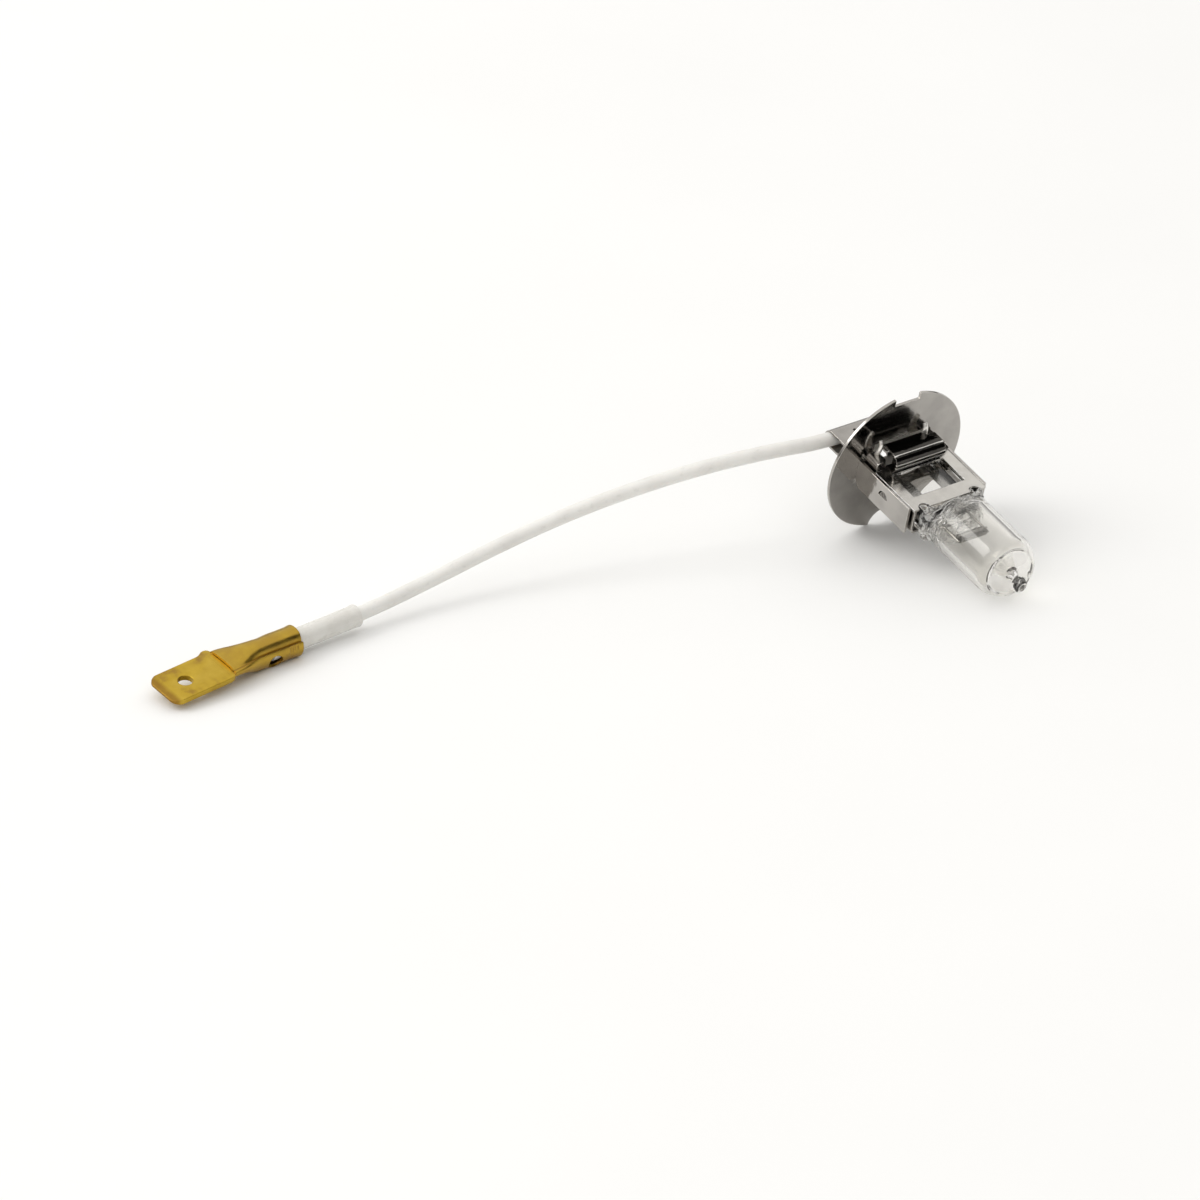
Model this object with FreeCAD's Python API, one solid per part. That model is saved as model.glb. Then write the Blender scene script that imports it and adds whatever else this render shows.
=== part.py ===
import FreeCAD, Part
import math
import os

# Halogen headlight bulb with a stamped steel base and a flexible lead that ends in a push-on blade.
# Everything on the lamp is drawn in the lamp's own frame: +X along the glass towards its tip,
# Z towards the square notch of the flange, and the origin in the middle of the flange's front face.
# lay_down() then turns the lamp as it lies on a surface, resting on the flange and the glass dome.
# The finished model has +Z up, and its origin is under the middle of the lamp, on that surface.

V = FreeCAD.Vector

# ---- Driving dimensions, millimetres and degrees ----
# Flange
FLANGE_DIAMETER = 22.0
FLANGE_THICKNESS = 0.4
SQUARE_NOTCH_WIDTH = 4.2
SQUARE_NOTCH_DEPTH = 1.2
ROUND_NOTCH_RADIUS = 2.4
# Yoke: the bent strip whose two arms stand out of the flange
YOKE_SHEET = 0.4
YOKE_SPAN = 13.2
YOKE_HEIGHT = 4.1
YOKE_REACH = 11.3
YOKE_BEND = 0.7
LANCE_RADIUS = 0.95
LANCE_DISTANCE = 5.9
LANCE_LEAN = 24.0
# Cradle: the folded sheet and its top plate, which hold the flat seal of the glass
CRADLE_SHEET = 0.3
CRADLE_GAP = 0.3
CRADLE_REAR = 0.6
CRADLE_FRONT = 11.9
WINDOW_WIDTH = 8.7
FRONT_BAR = 2.4
REAR_BAR = 1.8
REAR_BAR_START = 2.6
SCALLOP_RADIUS = 0.9
SCALLOP_OFFSET = 4.3
EAR_HEIGHT = 1.0
EAR_WIDTH = 1.5
EAR_LENGTH = 2.4
# Spring clip above the seal
CLIP_WIDTH = 8.0
CLIP_HEIGHT = 2.5
CLIP_DEPTH = 3.5
CLIP_BEND = 0.85
# Stop plate behind the seal
STOP_SHEET = 0.3
STOP_SPAN = 9.6
STOP_HEIGHT = 2.4
PRONG_WIDTH = 1.0
PRONG_SPACING = 7.6
PRONG_TOP = 5.7
# Glass
GLASS_DIAMETER = 9.1
GLASS_WALL = 0.9
DOME_CENTRE = 23.7
PIP_RADIUS = 0.85
PIP_LENGTH = 0.95
PIP_FLARE = 0.7
SEAL_WIDTH = 10.2
SEAL_REAR = 2.9
SEAL_HALF_CORE = 1.2
SEAL_HALF_RIB = 1.5
SEAL_RIB_WIDTH = 0.9
SEAL_BEAD = 1.5
SHOULDER_START = 12.1
SHOULDER_LENGTH = 2.3
CAVITY_START = 13.4
# Filament and the metal that feeds it
FILAMENT_DISTANCE = 17.5
FILAMENT_LENGTH = 4.6
COIL_DIAMETER = 1.1
COIL_BORE = 0.7
INNER_WIRE = 0.36
FOIL_WIDTH = 1.8
FOIL_THICKNESS = 0.08
FOIL_START = 5.2
FOIL_END = 10.0
FOIL_OVERLAP = 0.8
OUTER_WIRE = 0.6
OUTER_WIRE_END = 1.0
# Strips from the outer wires
STRIP_SHEET = 0.3
STRIP_WIDTH = 1.0
# Rear hood, which clamps the lead
HOOD_SHEET = 0.3
HOOD_LEFT = -8.4
HOOD_RIGHT = 4.6
HOOD_DEPTH = 4.4
HOOD_RISE = 2.97
HOOD_FOOT = 1.3
HOOD_HOLE = 0.6
# Lead
LEAD_DIAMETER = 2.0
CONDUCTOR_DIAMETER = 1.1
LEAD_START = -3.6
FERRULE_DIAMETER = 1.5
FERRULE_LENGTH = 3.6
# Sleeve and blade terminal
SLEEVE_DIAMETER = 3.0
SLEEVE_SHOWN = 9.9
SLEEVE_HIDDEN = 4.6
BARREL_DIAMETER = 4.0
BARREL_LENGTH = 11.8
BLADE_WIDTH = 6.3
BLADE_THICKNESS = 0.8
BLADE_LENGTH = 10.1
BLADE_HOLE = 2.0
BLADE_HOLE_TO_TIP = 3.8
BLADE_ROLL = 8.8
BLADE_DROP = 0.15
BLADE_CHAMFER = 1.5
BLADE_TAPER = 1.3
BLADE_BEVEL = 0.27
SHOULDER_LUG = 0.5
CRIMP_NOTCH_RADIUS = 1.2
CRIMP_NOTCH_DEPTH = 0.45
SEAM_WIDTH = 0.15
# Clearances
SLIDING_FIT = 0.05
SLOT_FIT = 0.05

# Route of the lead after it leaves the hood: distance ahead of the flange face, across, and height
# above the surface. It sinks from the hood to the surface in one long soft curve.
LEAD_ROUTE = [
    (-5.7, -16.9, 14.25),
    (-9.2, -25.6, 12.95),
    (-12.6, -34.1, 10.95),
    (-15.5, -43.0, 8.65),
    (-17.7, -52.6, 5.95),
    (-18.75, -63.6, 3.3),
]
SLEEVE_BEND = 9.4
TERMINAL_REAR = (-17.5, -85.6)
TERMINAL_TIP = (-16.0, -107.4)

# ---- Values worked out from them ----
R = FLANGE_DIAMETER / 2
GLASS_R = GLASS_DIAMETER / 2
ARM_INNER = YOKE_SPAN / 2 - YOKE_SHEET
WALL_OUTER = ARM_INNER - CRADLE_GAP
WALL_MIDDLE = WALL_OUTER - CRADLE_SHEET / 2
PLATE_TOP = YOKE_HEIGHT / 2
PLATE_UNDER = PLATE_TOP - CRADLE_SHEET
SEAL_HALF_BEAD = PLATE_UNDER - SLIDING_FIT
WINDOW_FRONT = CRADLE_FRONT - FRONT_BAR
WINDOW_REAR = REAR_BAR_START + REAR_BAR
PIP_END = DOME_CENTRE + GLASS_R + PIP_LENGTH
WIRE_SIDE = FILAMENT_LENGTH / 2 + INNER_WIRE / 2
WEB_REAR = -FLANGE_THICKNESS - YOKE_SHEET
HOOD_INNER = LEAD_DIAMETER / 2
HOOD_MIDDLE = HOOD_INNER + HOOD_SHEET / 2
# The lowest points of the flange are the two corners of its round notch.
REST_DROP = R - ROUND_NOTCH_RADIUS ** 2 / (2 * R)
TILT = math.atan2(REST_DROP, DOME_CENTRE) - math.asin(GLASS_R / math.hypot(REST_DROP, DOME_CENTRE))
LIFT = REST_DROP * math.cos(TILT)
# The lamp reaches from the hood's round back to the tip of the glass, and the origin is midway.
REAR_X = -HOOD_DEPTH * math.cos(TILT) + HOOD_RISE * math.sin(TILT) - HOOD_INNER - HOOD_SHEET
FRONT_X = PIP_END * math.cos(TILT)
MIDDLE_X = (REAR_X + FRONT_X) / 2

os.makedirs("parts", exist_ok=True)


# ---- Geometry helpers ----
def box(x0, x1, y0, y1, z0, z1):
    return Part.makeBox(x1 - x0, y1 - y0, z1 - z0, V(x0, y0, z0))


def rod(radius, start, end):
    axis = V(*end) - V(*start)
    return Part.makeCylinder(radius, axis.Length, V(*start), axis)


def tube(outer, inner, start, end):
    return rod(outer, start, end).cut(rod(inner, start, end))


def mirrored(shape):
    return shape.mirror(V(0, 0, 0), V(0, 1, 0))


def rounded_path(points, radii, normal=None, offset=0.0):
    """Straight runs joined by tangent arcs, as edges, moved sideways by offset in a flat path."""
    edges = []
    start = points[0]
    start_side = V(0, 0, 0)
    if offset:
        start_side = normal.cross(points[1] - points[0]).normalize() * offset
    last = start + start_side
    for index in range(1, len(points) - 1):
        before = (points[index] - points[index - 1]).normalize()
        after = (points[index + 1] - points[index]).normalize()
        turn = before.getAngle(after)
        radius = radii[index - 1]
        reach = radius * math.tan(turn / 2)
        arc_start = points[index] - before * reach
        arc_end = points[index] + after * reach
        inward = (after - before).normalize()
        centre = points[index] + inward * (radius / math.cos(turn / 2))
        if offset:
            arc_start = arc_start + normal.cross(before).normalize() * offset
            arc_end = arc_end + normal.cross(after).normalize() * offset
        middle = centre - inward * (arc_start - centre).Length
        if (arc_start - last).Length > 1e-4:
            edges.append(Part.LineSegment(last, arc_start).toShape())
        edges.append(Part.Arc(arc_start, middle, arc_end).toShape())
        last = arc_end
    end = points[-1]
    if offset:
        end = end + normal.cross(points[-1] - points[-2]).normalize() * offset
    if (end - last).Length > 1e-4:
        edges.append(Part.LineSegment(last, end).toShape())
    return edges


def bent_sheet(points, bend, thickness, along):
    """A strip of sheet metal: a flat path with bends, given its thickness and drawn out sideways."""
    vectors = [V(*point) for point in points]
    normal = V(*along).normalize()
    radii = [bend] * (len(vectors) - 2)
    one = rounded_path(vectors, radii, normal, thickness / 2)
    other = rounded_path(vectors, radii, normal, -thickness / 2)
    first_cap = Part.LineSegment(one[0].Vertexes[0].Point, other[0].Vertexes[0].Point).toShape()
    last_cap = Part.LineSegment(one[-1].Vertexes[-1].Point, other[-1].Vertexes[-1].Point).toShape()
    outline = Part.Wire(Part.__sortEdges__(one + other + [first_cap, last_cap]))
    return Part.Face(outline).extrude(V(*along))


def turned(outline):
    """Revolve a profile of edges around the lamp's axis."""
    return Part.Face(Part.Wire(outline)).revolve(V(0, 0, 0), V(1, 0, 0), 360)


def line(start, end):
    return Part.LineSegment(V(*start), V(*end)).toShape()


def arc(start, middle, end):
    return Part.Arc(V(*start), V(*middle), V(*end)).toShape()


def lay_down(shape):
    """Turn the lamp from its own frame to the way it lies on a surface."""
    placed = shape.copy()
    placed.rotate(V(0, 0, 0), V(0, 1, 0), math.degrees(TILT))
    placed.translate(V(-MIDDLE_X, 0, LIFT))
    return placed


def lamp_point(x, y, z):
    """A point of the lamp's own frame, where it lies on the surface."""
    across = x * math.cos(TILT) + z * math.sin(TILT) - MIDDLE_X
    height = z * math.cos(TILT) - x * math.sin(TILT) + LIFT
    return V(across, y, height)


# ---- Glass ----
def round_profile(radius, start, centre, tip):
    """Closed half outline of a round-ended tube of glass, whose dome may carry a pip."""
    apex = centre + radius
    corner = (centre, 0, radius)
    halfway = (centre + radius * math.sin(math.pi / 4), 0, radius * math.cos(math.pi / 4))
    edges = [line((start, 0, 0), (start, 0, radius)), line((start, 0, radius), corner)]
    if tip is None:
        return edges + [arc(corner, halfway, (apex, 0, 0)), line((apex, 0, 0), (start, 0, 0))]
    flare = PIP_RADIUS + PIP_FLARE
    meet = (centre + math.sqrt(radius ** 2 - flare ** 2), 0, flare)
    neck = (meet[0] + PIP_FLARE, 0, PIP_RADIUS)
    fold = (meet[0] + PIP_FLARE * (1 - math.sqrt(0.5)), 0, PIP_RADIUS + PIP_FLARE * (1 - math.sqrt(0.5)))
    edges.append(arc(corner, halfway, meet))
    edges.append(arc(meet, fold, neck))
    nose_radius = 1.25 * PIP_RADIUS
    shoulder = (tip - PIP_RADIUS / 2, 0, PIP_RADIUS)
    nose = (tip, 0, 0)
    half_angle = math.asin(PIP_RADIUS / nose_radius) / 2
    bulge = (tip - nose_radius * (1 - math.cos(half_angle)), 0, nose_radius * math.sin(half_angle))
    edges.append(line(neck, shoulder))
    edges.append(arc(shoulder, bulge, nose))
    edges.append(line(nose, (start, 0, 0)))
    return edges


def shoulder_wedge(start, length, low, high, end):
    """A prism that opens from the flat seal to the full round, with a soft S-shaped slope."""
    middle = ((low + high) / 2, start + length / 2)
    outline = []
    for side in (1, -1):
        foot = (start, 0, side * low)
        centre = (middle[1], 0, side * middle[0])
        head = (start + length, 0, side * high)
        sag = 0.18 * length
        lower = ((foot[0] + centre[0]) / 2 + sag, 0, (foot[2] + centre[2]) / 2 - side * sag)
        upper = ((centre[0] + head[0]) / 2 - sag, 0, (centre[2] + head[2]) / 2 + side * sag)
        outline += [arc(foot, lower, centre), arc(centre, upper, head), line(head, (end, 0, side * high))]
    outline.append(line((start, 0, -low), (start, 0, low)))
    outline.append(line((end, 0, -high), (end, 0, high)))
    face = Part.Face(Part.Wire(Part.__sortEdges__(outline)))
    half_width = SEAL_WIDTH
    prism = face.extrude(V(0, 2 * half_width, 0))
    prism.translate(V(0, -half_width, 0))
    return prism


def seal_slab():
    """The flat seal: a thin core with a bead along each edge and a rib down the middle."""
    end = SHOULDER_START + SHOULDER_LENGTH / 2
    half = SEAL_WIDTH / 2
    slab = box(SEAL_REAR, end, -half, half, -SEAL_HALF_CORE, SEAL_HALF_CORE)
    rib = SEAL_RIB_WIDTH / 2
    slab = slab.fuse(box(SEAL_REAR, end, -rib, rib, -SEAL_HALF_RIB, SEAL_HALF_RIB))
    for side in (-1, 1):
        inner, outer = sorted((side * (half - SEAL_BEAD), side * half))
        slab = slab.fuse(box(SEAL_REAR, end, inner, outer, -SEAL_HALF_BEAD, SEAL_HALF_BEAD))
    slab = slab.removeSplitter()
    uprights = [edge for edge in slab.Edges if is_seal_corner(edge)]
    return slab.makeFillet(SEAL_BEAD / 3, uprights)


def is_seal_corner(edge):
    middle = edge.CenterOfMass
    runs_forward = abs(edge.tangentAt(edge.FirstParameter).x) > 0.99
    at_side = abs(abs(middle.y) - SEAL_WIDTH / 2) < 1e-3
    return runs_forward and at_side


def glass_envelope(embedded):
    outer = turned(round_profile(GLASS_R, SHOULDER_START, DOME_CENTRE, PIP_END))
    outer = outer.common(shoulder_wedge(SHOULDER_START, SHOULDER_LENGTH, SEAL_HALF_BEAD, GLASS_R + 0.1, PIP_END + 1))
    outer = outer.fuse(seal_slab())
    bore = GLASS_R - GLASS_WALL
    inner = turned(round_profile(bore, CAVITY_START, DOME_CENTRE, None))
    wedge = shoulder_wedge(CAVITY_START, SHOULDER_LENGTH, SEAL_HALF_CORE / 2, bore + 0.1, PIP_END + 1)
    glass = outer.cut(inner.common(wedge))
    for piece in embedded:
        glass = glass.cut(piece)
    return glass.removeSplitter()


# ---- Filament and its feeds, left side; the right side is its mirror image ----
def filament_coil():
    half = FILAMENT_LENGTH / 2
    centre = FILAMENT_DISTANCE
    return tube(COIL_DIAMETER / 2, COIL_BORE / 2, (centre, -half, 0), (centre, half, 0))


def inner_wire():
    start = FOIL_END - FOIL_OVERLAP
    end = FILAMENT_DISTANCE + COIL_DIAMETER / 2
    rise = INNER_WIRE / 2
    seat = (start, -WIRE_SIDE, rise)
    sealed = (CAVITY_START - 1.2, -WIRE_SIDE, rise)
    free = (CAVITY_START - 0.2, -WIRE_SIDE, 0)
    tip = (end, -WIRE_SIDE, 0)
    path = Part.Wire(rounded_path([V(*seat), V(*sealed), V(*free), V(*tip)], [1.0, 1.0]))
    return round_bar(path, INNER_WIRE / 2)


def foil(wires):
    """Thin foil in the seal. The wires are welded into its two ends, half way through it."""
    half = FOIL_WIDTH / 2
    depth = FOIL_THICKNESS / 2
    sheet = box(FOIL_START, FOIL_END, -WIRE_SIDE - half, -WIRE_SIDE + half, -depth, depth)
    for wire in wires:
        sheet = sheet.cut(wire)
    return sheet


def outer_wire():
    drop = -OUTER_WIRE / 2
    return rod(OUTER_WIRE / 2, (OUTER_WIRE_END, -WIRE_SIDE, drop), (FOIL_START + FOIL_OVERLAP, -WIRE_SIDE, drop))


def round_bar(path, radius):
    """A round bar along a path of lines and arcs."""
    first = path.Edges[0]
    start = first.Vertexes[0].Point
    circle = Part.Circle(start, first.tangentAt(first.FirstParameter), radius)
    return path.makePipeShell([Part.Wire(circle.toShape())], True, False)


# ---- Stamped base ----
def flange_disc():
    disc = rod(R, (-FLANGE_THICKNESS, 0, 0), (0, 0, 0))
    half = SQUARE_NOTCH_WIDTH / 2
    disc = disc.cut(box(-1, 1, -half, half, R - SQUARE_NOTCH_DEPTH, R + 1))
    disc = disc.cut(rod(ROUND_NOTCH_RADIUS, (-1, 0, -R), (1, 0, -R)))
    opening = STOP_SPAN / 2 - 0.5
    disc = disc.cut(box(-1, 1, -opening, opening, -1.0, HOOD_RISE + HOOD_INNER))
    slot_half = YOKE_HEIGHT / 2 + SLOT_FIT
    for side in (-1, 1):
        bend_start = ARM_INNER - YOKE_BEND + YOKE_SHEET / 2
        inner, outer = sorted((side * (bend_start - SLOT_FIT), side * (YOKE_SPAN / 2 + SLOT_FIT)))
        disc = disc.cut(box(-1, 1, inner, outer, -slot_half, slot_half))
    return disc


def yoke():
    side = YOKE_SPAN / 2 - YOKE_SHEET / 2
    back = -FLANGE_THICKNESS - YOKE_SHEET / 2
    half = YOKE_HEIGHT / 2
    path = [(YOKE_REACH, -side, -half), (back, -side, -half), (back, side, -half), (YOKE_REACH, side, -half)]
    body = bent_sheet(path, YOKE_BEND, YOKE_SHEET, (0, 0, YOKE_HEIGHT))
    opening = STOP_SPAN / 2 - 0.5
    body = body.cut(box(WEB_REAR - 1, 0, -opening, opening, -1.0, half + 1))
    relief = Part.makePolygon([V(0, 0, -half), V(0.9, 0, -half), V(0, 0, -half + 0.9), V(0, 0, -half)])
    relief = Part.Face(relief).extrude(V(0, YOKE_SPAN + 2, 0))
    relief.translate(V(0, -YOKE_SPAN / 2 - 1, 0))
    body = body.cut(relief)
    for turn in (-1, 1):
        body = lanced(body, turn)
    return body


def lanced(body, side):
    """A half-moon tongue, cut free in an arm and leaned inwards over an opening in the cradle's wall."""
    outer_face = side * YOKE_SPAN / 2
    inner_face = side * ARM_INNER
    moon = rod(LANCE_RADIUS, (LANCE_DISTANCE, inner_face, 0), (LANCE_DISTANCE, outer_face, 0))
    upper = box(LANCE_DISTANCE - 2, LANCE_DISTANCE + 2, -YOKE_SPAN, YOKE_SPAN, 0, 2)
    opening = moon.common(upper)
    tongue = rod(LANCE_RADIUS * 0.8, (LANCE_DISTANCE, inner_face, 0), (LANCE_DISTANCE, outer_face, 0)).common(upper)
    tongue.rotate(V(0, outer_face, 0), V(1, 0, 0), side * LANCE_LEAN)
    reach = box(LANCE_DISTANCE - 2, LANCE_DISTANCE + 2, -YOKE_SPAN, YOKE_SPAN, -2, 2)
    cavity = box(LANCE_DISTANCE - 2, LANCE_DISTANCE + 2, -WALL_OUTER, WALL_OUTER, -2, 2)
    return body.cut(opening).fuse(tongue.common(reach).cut(cavity)).removeSplitter()


def cradle_body():
    """Bottom plate and two side walls, folded from one sheet, with an ear at each rear corner."""
    low = -PLATE_TOP + CRADLE_SHEET / 2
    top = PLATE_UNDER
    path = [(CRADLE_REAR, -WALL_MIDDLE, top), (CRADLE_REAR, -WALL_MIDDLE, low)]
    path += [(CRADLE_REAR, WALL_MIDDLE, low), (CRADLE_REAR, WALL_MIDDLE, top)]
    length = CRADLE_FRONT - CRADLE_REAR
    body = bent_sheet(path, 0.4, CRADLE_SHEET, (length, 0, 0))
    half = WINDOW_WIDTH / 2
    body = body.cut(box(WINDOW_REAR, WINDOW_FRONT, -half, half, -PLATE_TOP - 1, 0))
    across = rod(LANCE_RADIUS, (LANCE_DISTANCE, -YOKE_SPAN, 0), (LANCE_DISTANCE, YOKE_SPAN, 0))
    body = body.cut(across.common(box(CRADLE_REAR, CRADLE_FRONT, -YOKE_SPAN, YOKE_SPAN, 0, PLATE_TOP)))
    roof = PLATE_TOP + EAR_HEIGHT + CRADLE_SHEET / 2
    inner = -WALL_MIDDLE + EAR_WIDTH
    path = [(CRADLE_REAR, -WALL_MIDDLE, top - 0.2), (CRADLE_REAR, -WALL_MIDDLE, roof), (CRADLE_REAR, inner, roof)]
    ear = bent_sheet(path, 0.35, CRADLE_SHEET, (EAR_LENGTH, 0, 0))
    corner = rod(0.6, (CRADLE_REAR + EAR_LENGTH - 0.6, inner - 0.6, 0), (CRADLE_REAR + EAR_LENGTH - 0.6, inner - 0.6, 9))
    square = box(CRADLE_REAR + EAR_LENGTH - 0.6, CRADLE_REAR + EAR_LENGTH, inner - 0.6, inner, PLATE_TOP, roof + 1)
    ear = ear.cut(square.cut(corner))
    return body.fuse(ear).fuse(mirrored(ear)).removeSplitter()


def cradle_top():
    """Flat frame over the seal: side rails, a rear bar under the clip and a front bar at the glass."""
    edge = ARM_INNER - 0.1
    plate = box(CRADLE_REAR, CRADLE_FRONT, -edge, edge, PLATE_UNDER, PLATE_TOP)
    half = WINDOW_WIDTH / 2
    plate = plate.cut(box(WINDOW_REAR, WINDOW_FRONT, -half, half, 0, 9))
    plate = plate.cut(box(CRADLE_REAR - 1, REAR_BAR_START, -half, half, 0, 9))
    for side in (-1, 1):
        centre = side * SCALLOP_OFFSET
        plate = plate.cut(rod(SCALLOP_RADIUS, (CRADLE_FRONT, centre, 0), (CRADLE_FRONT, centre, 9)))
        low, high = sorted((side * (WALL_OUTER - CRADLE_SHEET - SLOT_FIT), side * (WALL_OUTER + SLOT_FIT)))
        plate = plate.cut(box(CRADLE_REAR - 1, CRADLE_REAR + EAR_LENGTH + SLOT_FIT, low, high, 0, 9))
        low, high = sorted((side * (WALL_OUTER - 1), side * (edge + 1)))
        plate = plate.cut(box(CRADLE_REAR - 1, CRADLE_REAR + EAR_LENGTH + SLOT_FIT, low, high, 0, 9))
    return plate


def pinch_clip():
    """Spring strip of C section: its lower flap lies on the rear bar, its upper flap points back."""
    low = PLATE_TOP + CRADLE_SHEET / 2
    high = low + CLIP_HEIGHT
    front = WINDOW_REAR + 0.2
    side = -CLIP_WIDTH / 2
    path = [
        (REAR_BAR_START + 0.1, side, low),
        (front - 0.5, side, low),
        (front, side, low + 0.9),
        (front - 0.1, side, high - 0.8),
        (front - 1.0, side, high),
        (front - CLIP_DEPTH, side, high - 0.1),
    ]
    clip = bent_sheet(path, CLIP_BEND / 2, CRADLE_SHEET, (0, CLIP_WIDTH, 0))
    return clip


def seal_stop():
    """Plate behind the seal that bears on the flange, with a prong standing up at each side."""
    half_height = STOP_HEIGHT / 2
    plate = box(0, STOP_SHEET, -STOP_SPAN / 2, STOP_SPAN / 2, -half_height, half_height)
    side = PRONG_SPACING / 2 - PRONG_WIDTH / 2
    back = STOP_SHEET / 2
    path = [(back, side, half_height - 0.5), (back, side, half_height + 1.3)]
    path += [(back + 0.6, side, PRONG_TOP - 1.6), (back + 0.6, side, PRONG_TOP)]
    prong = bent_sheet(path, 0.6, STOP_SHEET, (0, PRONG_WIDTH, 0))
    taper = Part.makePolygon([
        V(0, side, PRONG_TOP), V(0, side + 0.3, PRONG_TOP), V(0, side, PRONG_TOP - 2.4), V(0, side, PRONG_TOP),
    ])
    wedge = Part.Face(taper).extrude(V(3, 0, 0))
    prong = prong.cut(wedge)
    return plate.fuse(prong).fuse(mirrored(prong)).removeSplitter()


def contact_strip():
    """Live strip from the left outer wire, through the flange, to the splice in the hood."""
    low = STRIP_SHEET / 2
    side = -WIRE_SIDE - STRIP_WIDTH / 2
    riser = OUTER_WIRE_END + 0.4
    end = -HOOD_DEPTH + FERRULE_DIAMETER / 2
    path = [(SEAL_REAR - 0.3, side, low), (riser, side, low), (riser, side, HOOD_RISE), (end, side, HOOD_RISE)]
    return bent_sheet(path, 0.45, STRIP_SHEET, (0, STRIP_WIDTH, 0))


def earth_strip():
    """Strip from the right outer wire down to the bottom plate of the cradle."""
    high = -OUTER_WIRE - STRIP_SHEET / 2
    low = -PLATE_UNDER + STRIP_SHEET / 2
    side = WIRE_SIDE - STRIP_WIDTH / 2
    riser = OUTER_WIRE_END + 0.3
    path = [(SEAL_REAR - 0.3, side, high), (riser, side, high), (riser, side, low), (SEAL_REAR + 1.2, side, low)]
    return bent_sheet(path, 0.22, STRIP_SHEET, (0, STRIP_WIDTH, 0))


# ---- Rear hood and splice ----
def channel(radius, y0, y1, front):
    """Prism with a round back, coaxial with the lead, open towards the flange."""
    low = HOOD_RISE - radius
    high = HOOD_RISE + radius
    outline = [line((-HOOD_DEPTH, y0, high), (front, y0, high)), line((front, y0, high), (front, y0, low))]
    outline.append(line((front, y0, low), (-HOOD_DEPTH, y0, low)))
    outline.append(arc((-HOOD_DEPTH, y0, low), (-HOOD_DEPTH - radius, y0, HOOD_RISE), (-HOOD_DEPTH, y0, high)))
    return Part.Face(Part.Wire(outline)).extrude(V(0, y1 - y0, 0))


def rear_hood():
    """Folded cover over the splice: it curls round the lead and has two feet on the flange."""
    outer = HOOD_INNER + HOOD_SHEET
    front = -FLANGE_THICKNESS
    shell = channel(outer, HOOD_LEFT, HOOD_RIGHT, front)
    shell = shell.cut(channel(HOOD_INNER, HOOD_LEFT - 1, HOOD_RIGHT - HOOD_SHEET, front + 1))
    for side in (-1, 1):
        start = HOOD_RISE + side * HOOD_INNER
        low, high = sorted((start, start + side * (HOOD_SHEET + HOOD_FOOT)))
        foot = box(front - HOOD_SHEET, front, HOOD_LEFT + 1.2, HOOD_RIGHT, low, high)
        shell = shell.fuse(foot)
    opening = box(WEB_REAR - SLOT_FIT, 1, -9, 9, -9, YOKE_HEIGHT / 2 + SLOT_FIT)
    shell = shell.cut(opening)
    hole_x = -HOOD_DEPTH + 0.9
    hole_y = HOOD_LEFT + 3.3
    shell = shell.cut(rod(HOOD_HOLE / 2, (hole_x, hole_y, HOOD_RISE), (hole_x, hole_y, HOOD_RISE + 3)))
    return shell.removeSplitter()


def insulator_block(ferrule, contact):
    """Ceramic that fills the hood round the splice and keeps the live strip off the steel."""
    front = -FLANGE_THICKNESS - SLIDING_FIT
    block = channel(HOOD_INNER, LEAD_START, HOOD_RIGHT - HOOD_SHEET, front)
    block = block.cut(box(WEB_REAR - SLOT_FIT, 1, -9, 9, -9, YOKE_HEIGHT / 2 + SLOT_FIT))
    return block.cut(ferrule).cut(contact).cut(conductor_stub())


def splice_ferrule():
    start = (-HOOD_DEPTH, LEAD_START, HOOD_RISE)
    end = (-HOOD_DEPTH, LEAD_START + FERRULE_LENGTH, HOOD_RISE)
    return tube(FERRULE_DIAMETER / 2, CONDUCTOR_DIAMETER / 2, start, end)


def conductor_stub():
    """Bare end of the conductor inside the ferrule."""
    end = LEAD_START + FERRULE_LENGTH * 0.75
    return rod(CONDUCTOR_DIAMETER / 2, (-HOOD_DEPTH, LEAD_START, HOOD_RISE), (-HOOD_DEPTH, end, HOOD_RISE))


# ---- Lead ----
def terminal_axis():
    """Rear end of the crimp barrel and the unit vector towards the blade's tip."""
    height = BARREL_DIAMETER / 2
    rear = V(TERMINAL_REAR[0] - MIDDLE_X, TERMINAL_REAR[1], height)
    tip = V(TERMINAL_TIP[0] - MIDDLE_X, TERMINAL_TIP[1], height)
    return rear, (tip - rear).normalize()


def lead_points():
    """The route of the lead, from the splice in the hood to its end in the crimp barrel."""
    rear, along = terminal_axis()
    points = [lamp_point(-HOOD_DEPTH, LEAD_START, HOOD_RISE)]
    points.append(lamp_point(-HOOD_DEPTH, HOOD_LEFT - 1.2, HOOD_RISE))
    points += [V(x - MIDDLE_X, y, z) for x, y, z in LEAD_ROUTE]
    points.append(rear - along * SLEEVE_BEND)
    points.append(rear + along * SLEEVE_HIDDEN)
    return points


def lead_radii(points):
    radii = []
    for index in range(1, len(points) - 1):
        before = points[index] - points[index - 1]
        after = points[index + 1] - points[index]
        shorter = min(before.Length, after.Length)
        radii.append(0.45 * shorter / math.tan(before.getAngle(after) / 2))
    return radii


def lead_path():
    points = lead_points()
    return Part.Wire(rounded_path(points, lead_radii(points)))


def end_of_path(path, length):
    """The last stretch of a path, of the given length."""
    kept = []
    left = length
    for edge in reversed(path.Edges):
        if edge.Length <= left:
            kept.insert(0, edge)
            left -= edge.Length
            continue
        cut_at = edge.getParameterByLength(edge.Length - left)
        kept.insert(0, edge.Curve.toShape(cut_at, edge.LastParameter))
        break
    return Part.Wire(kept)


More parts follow.
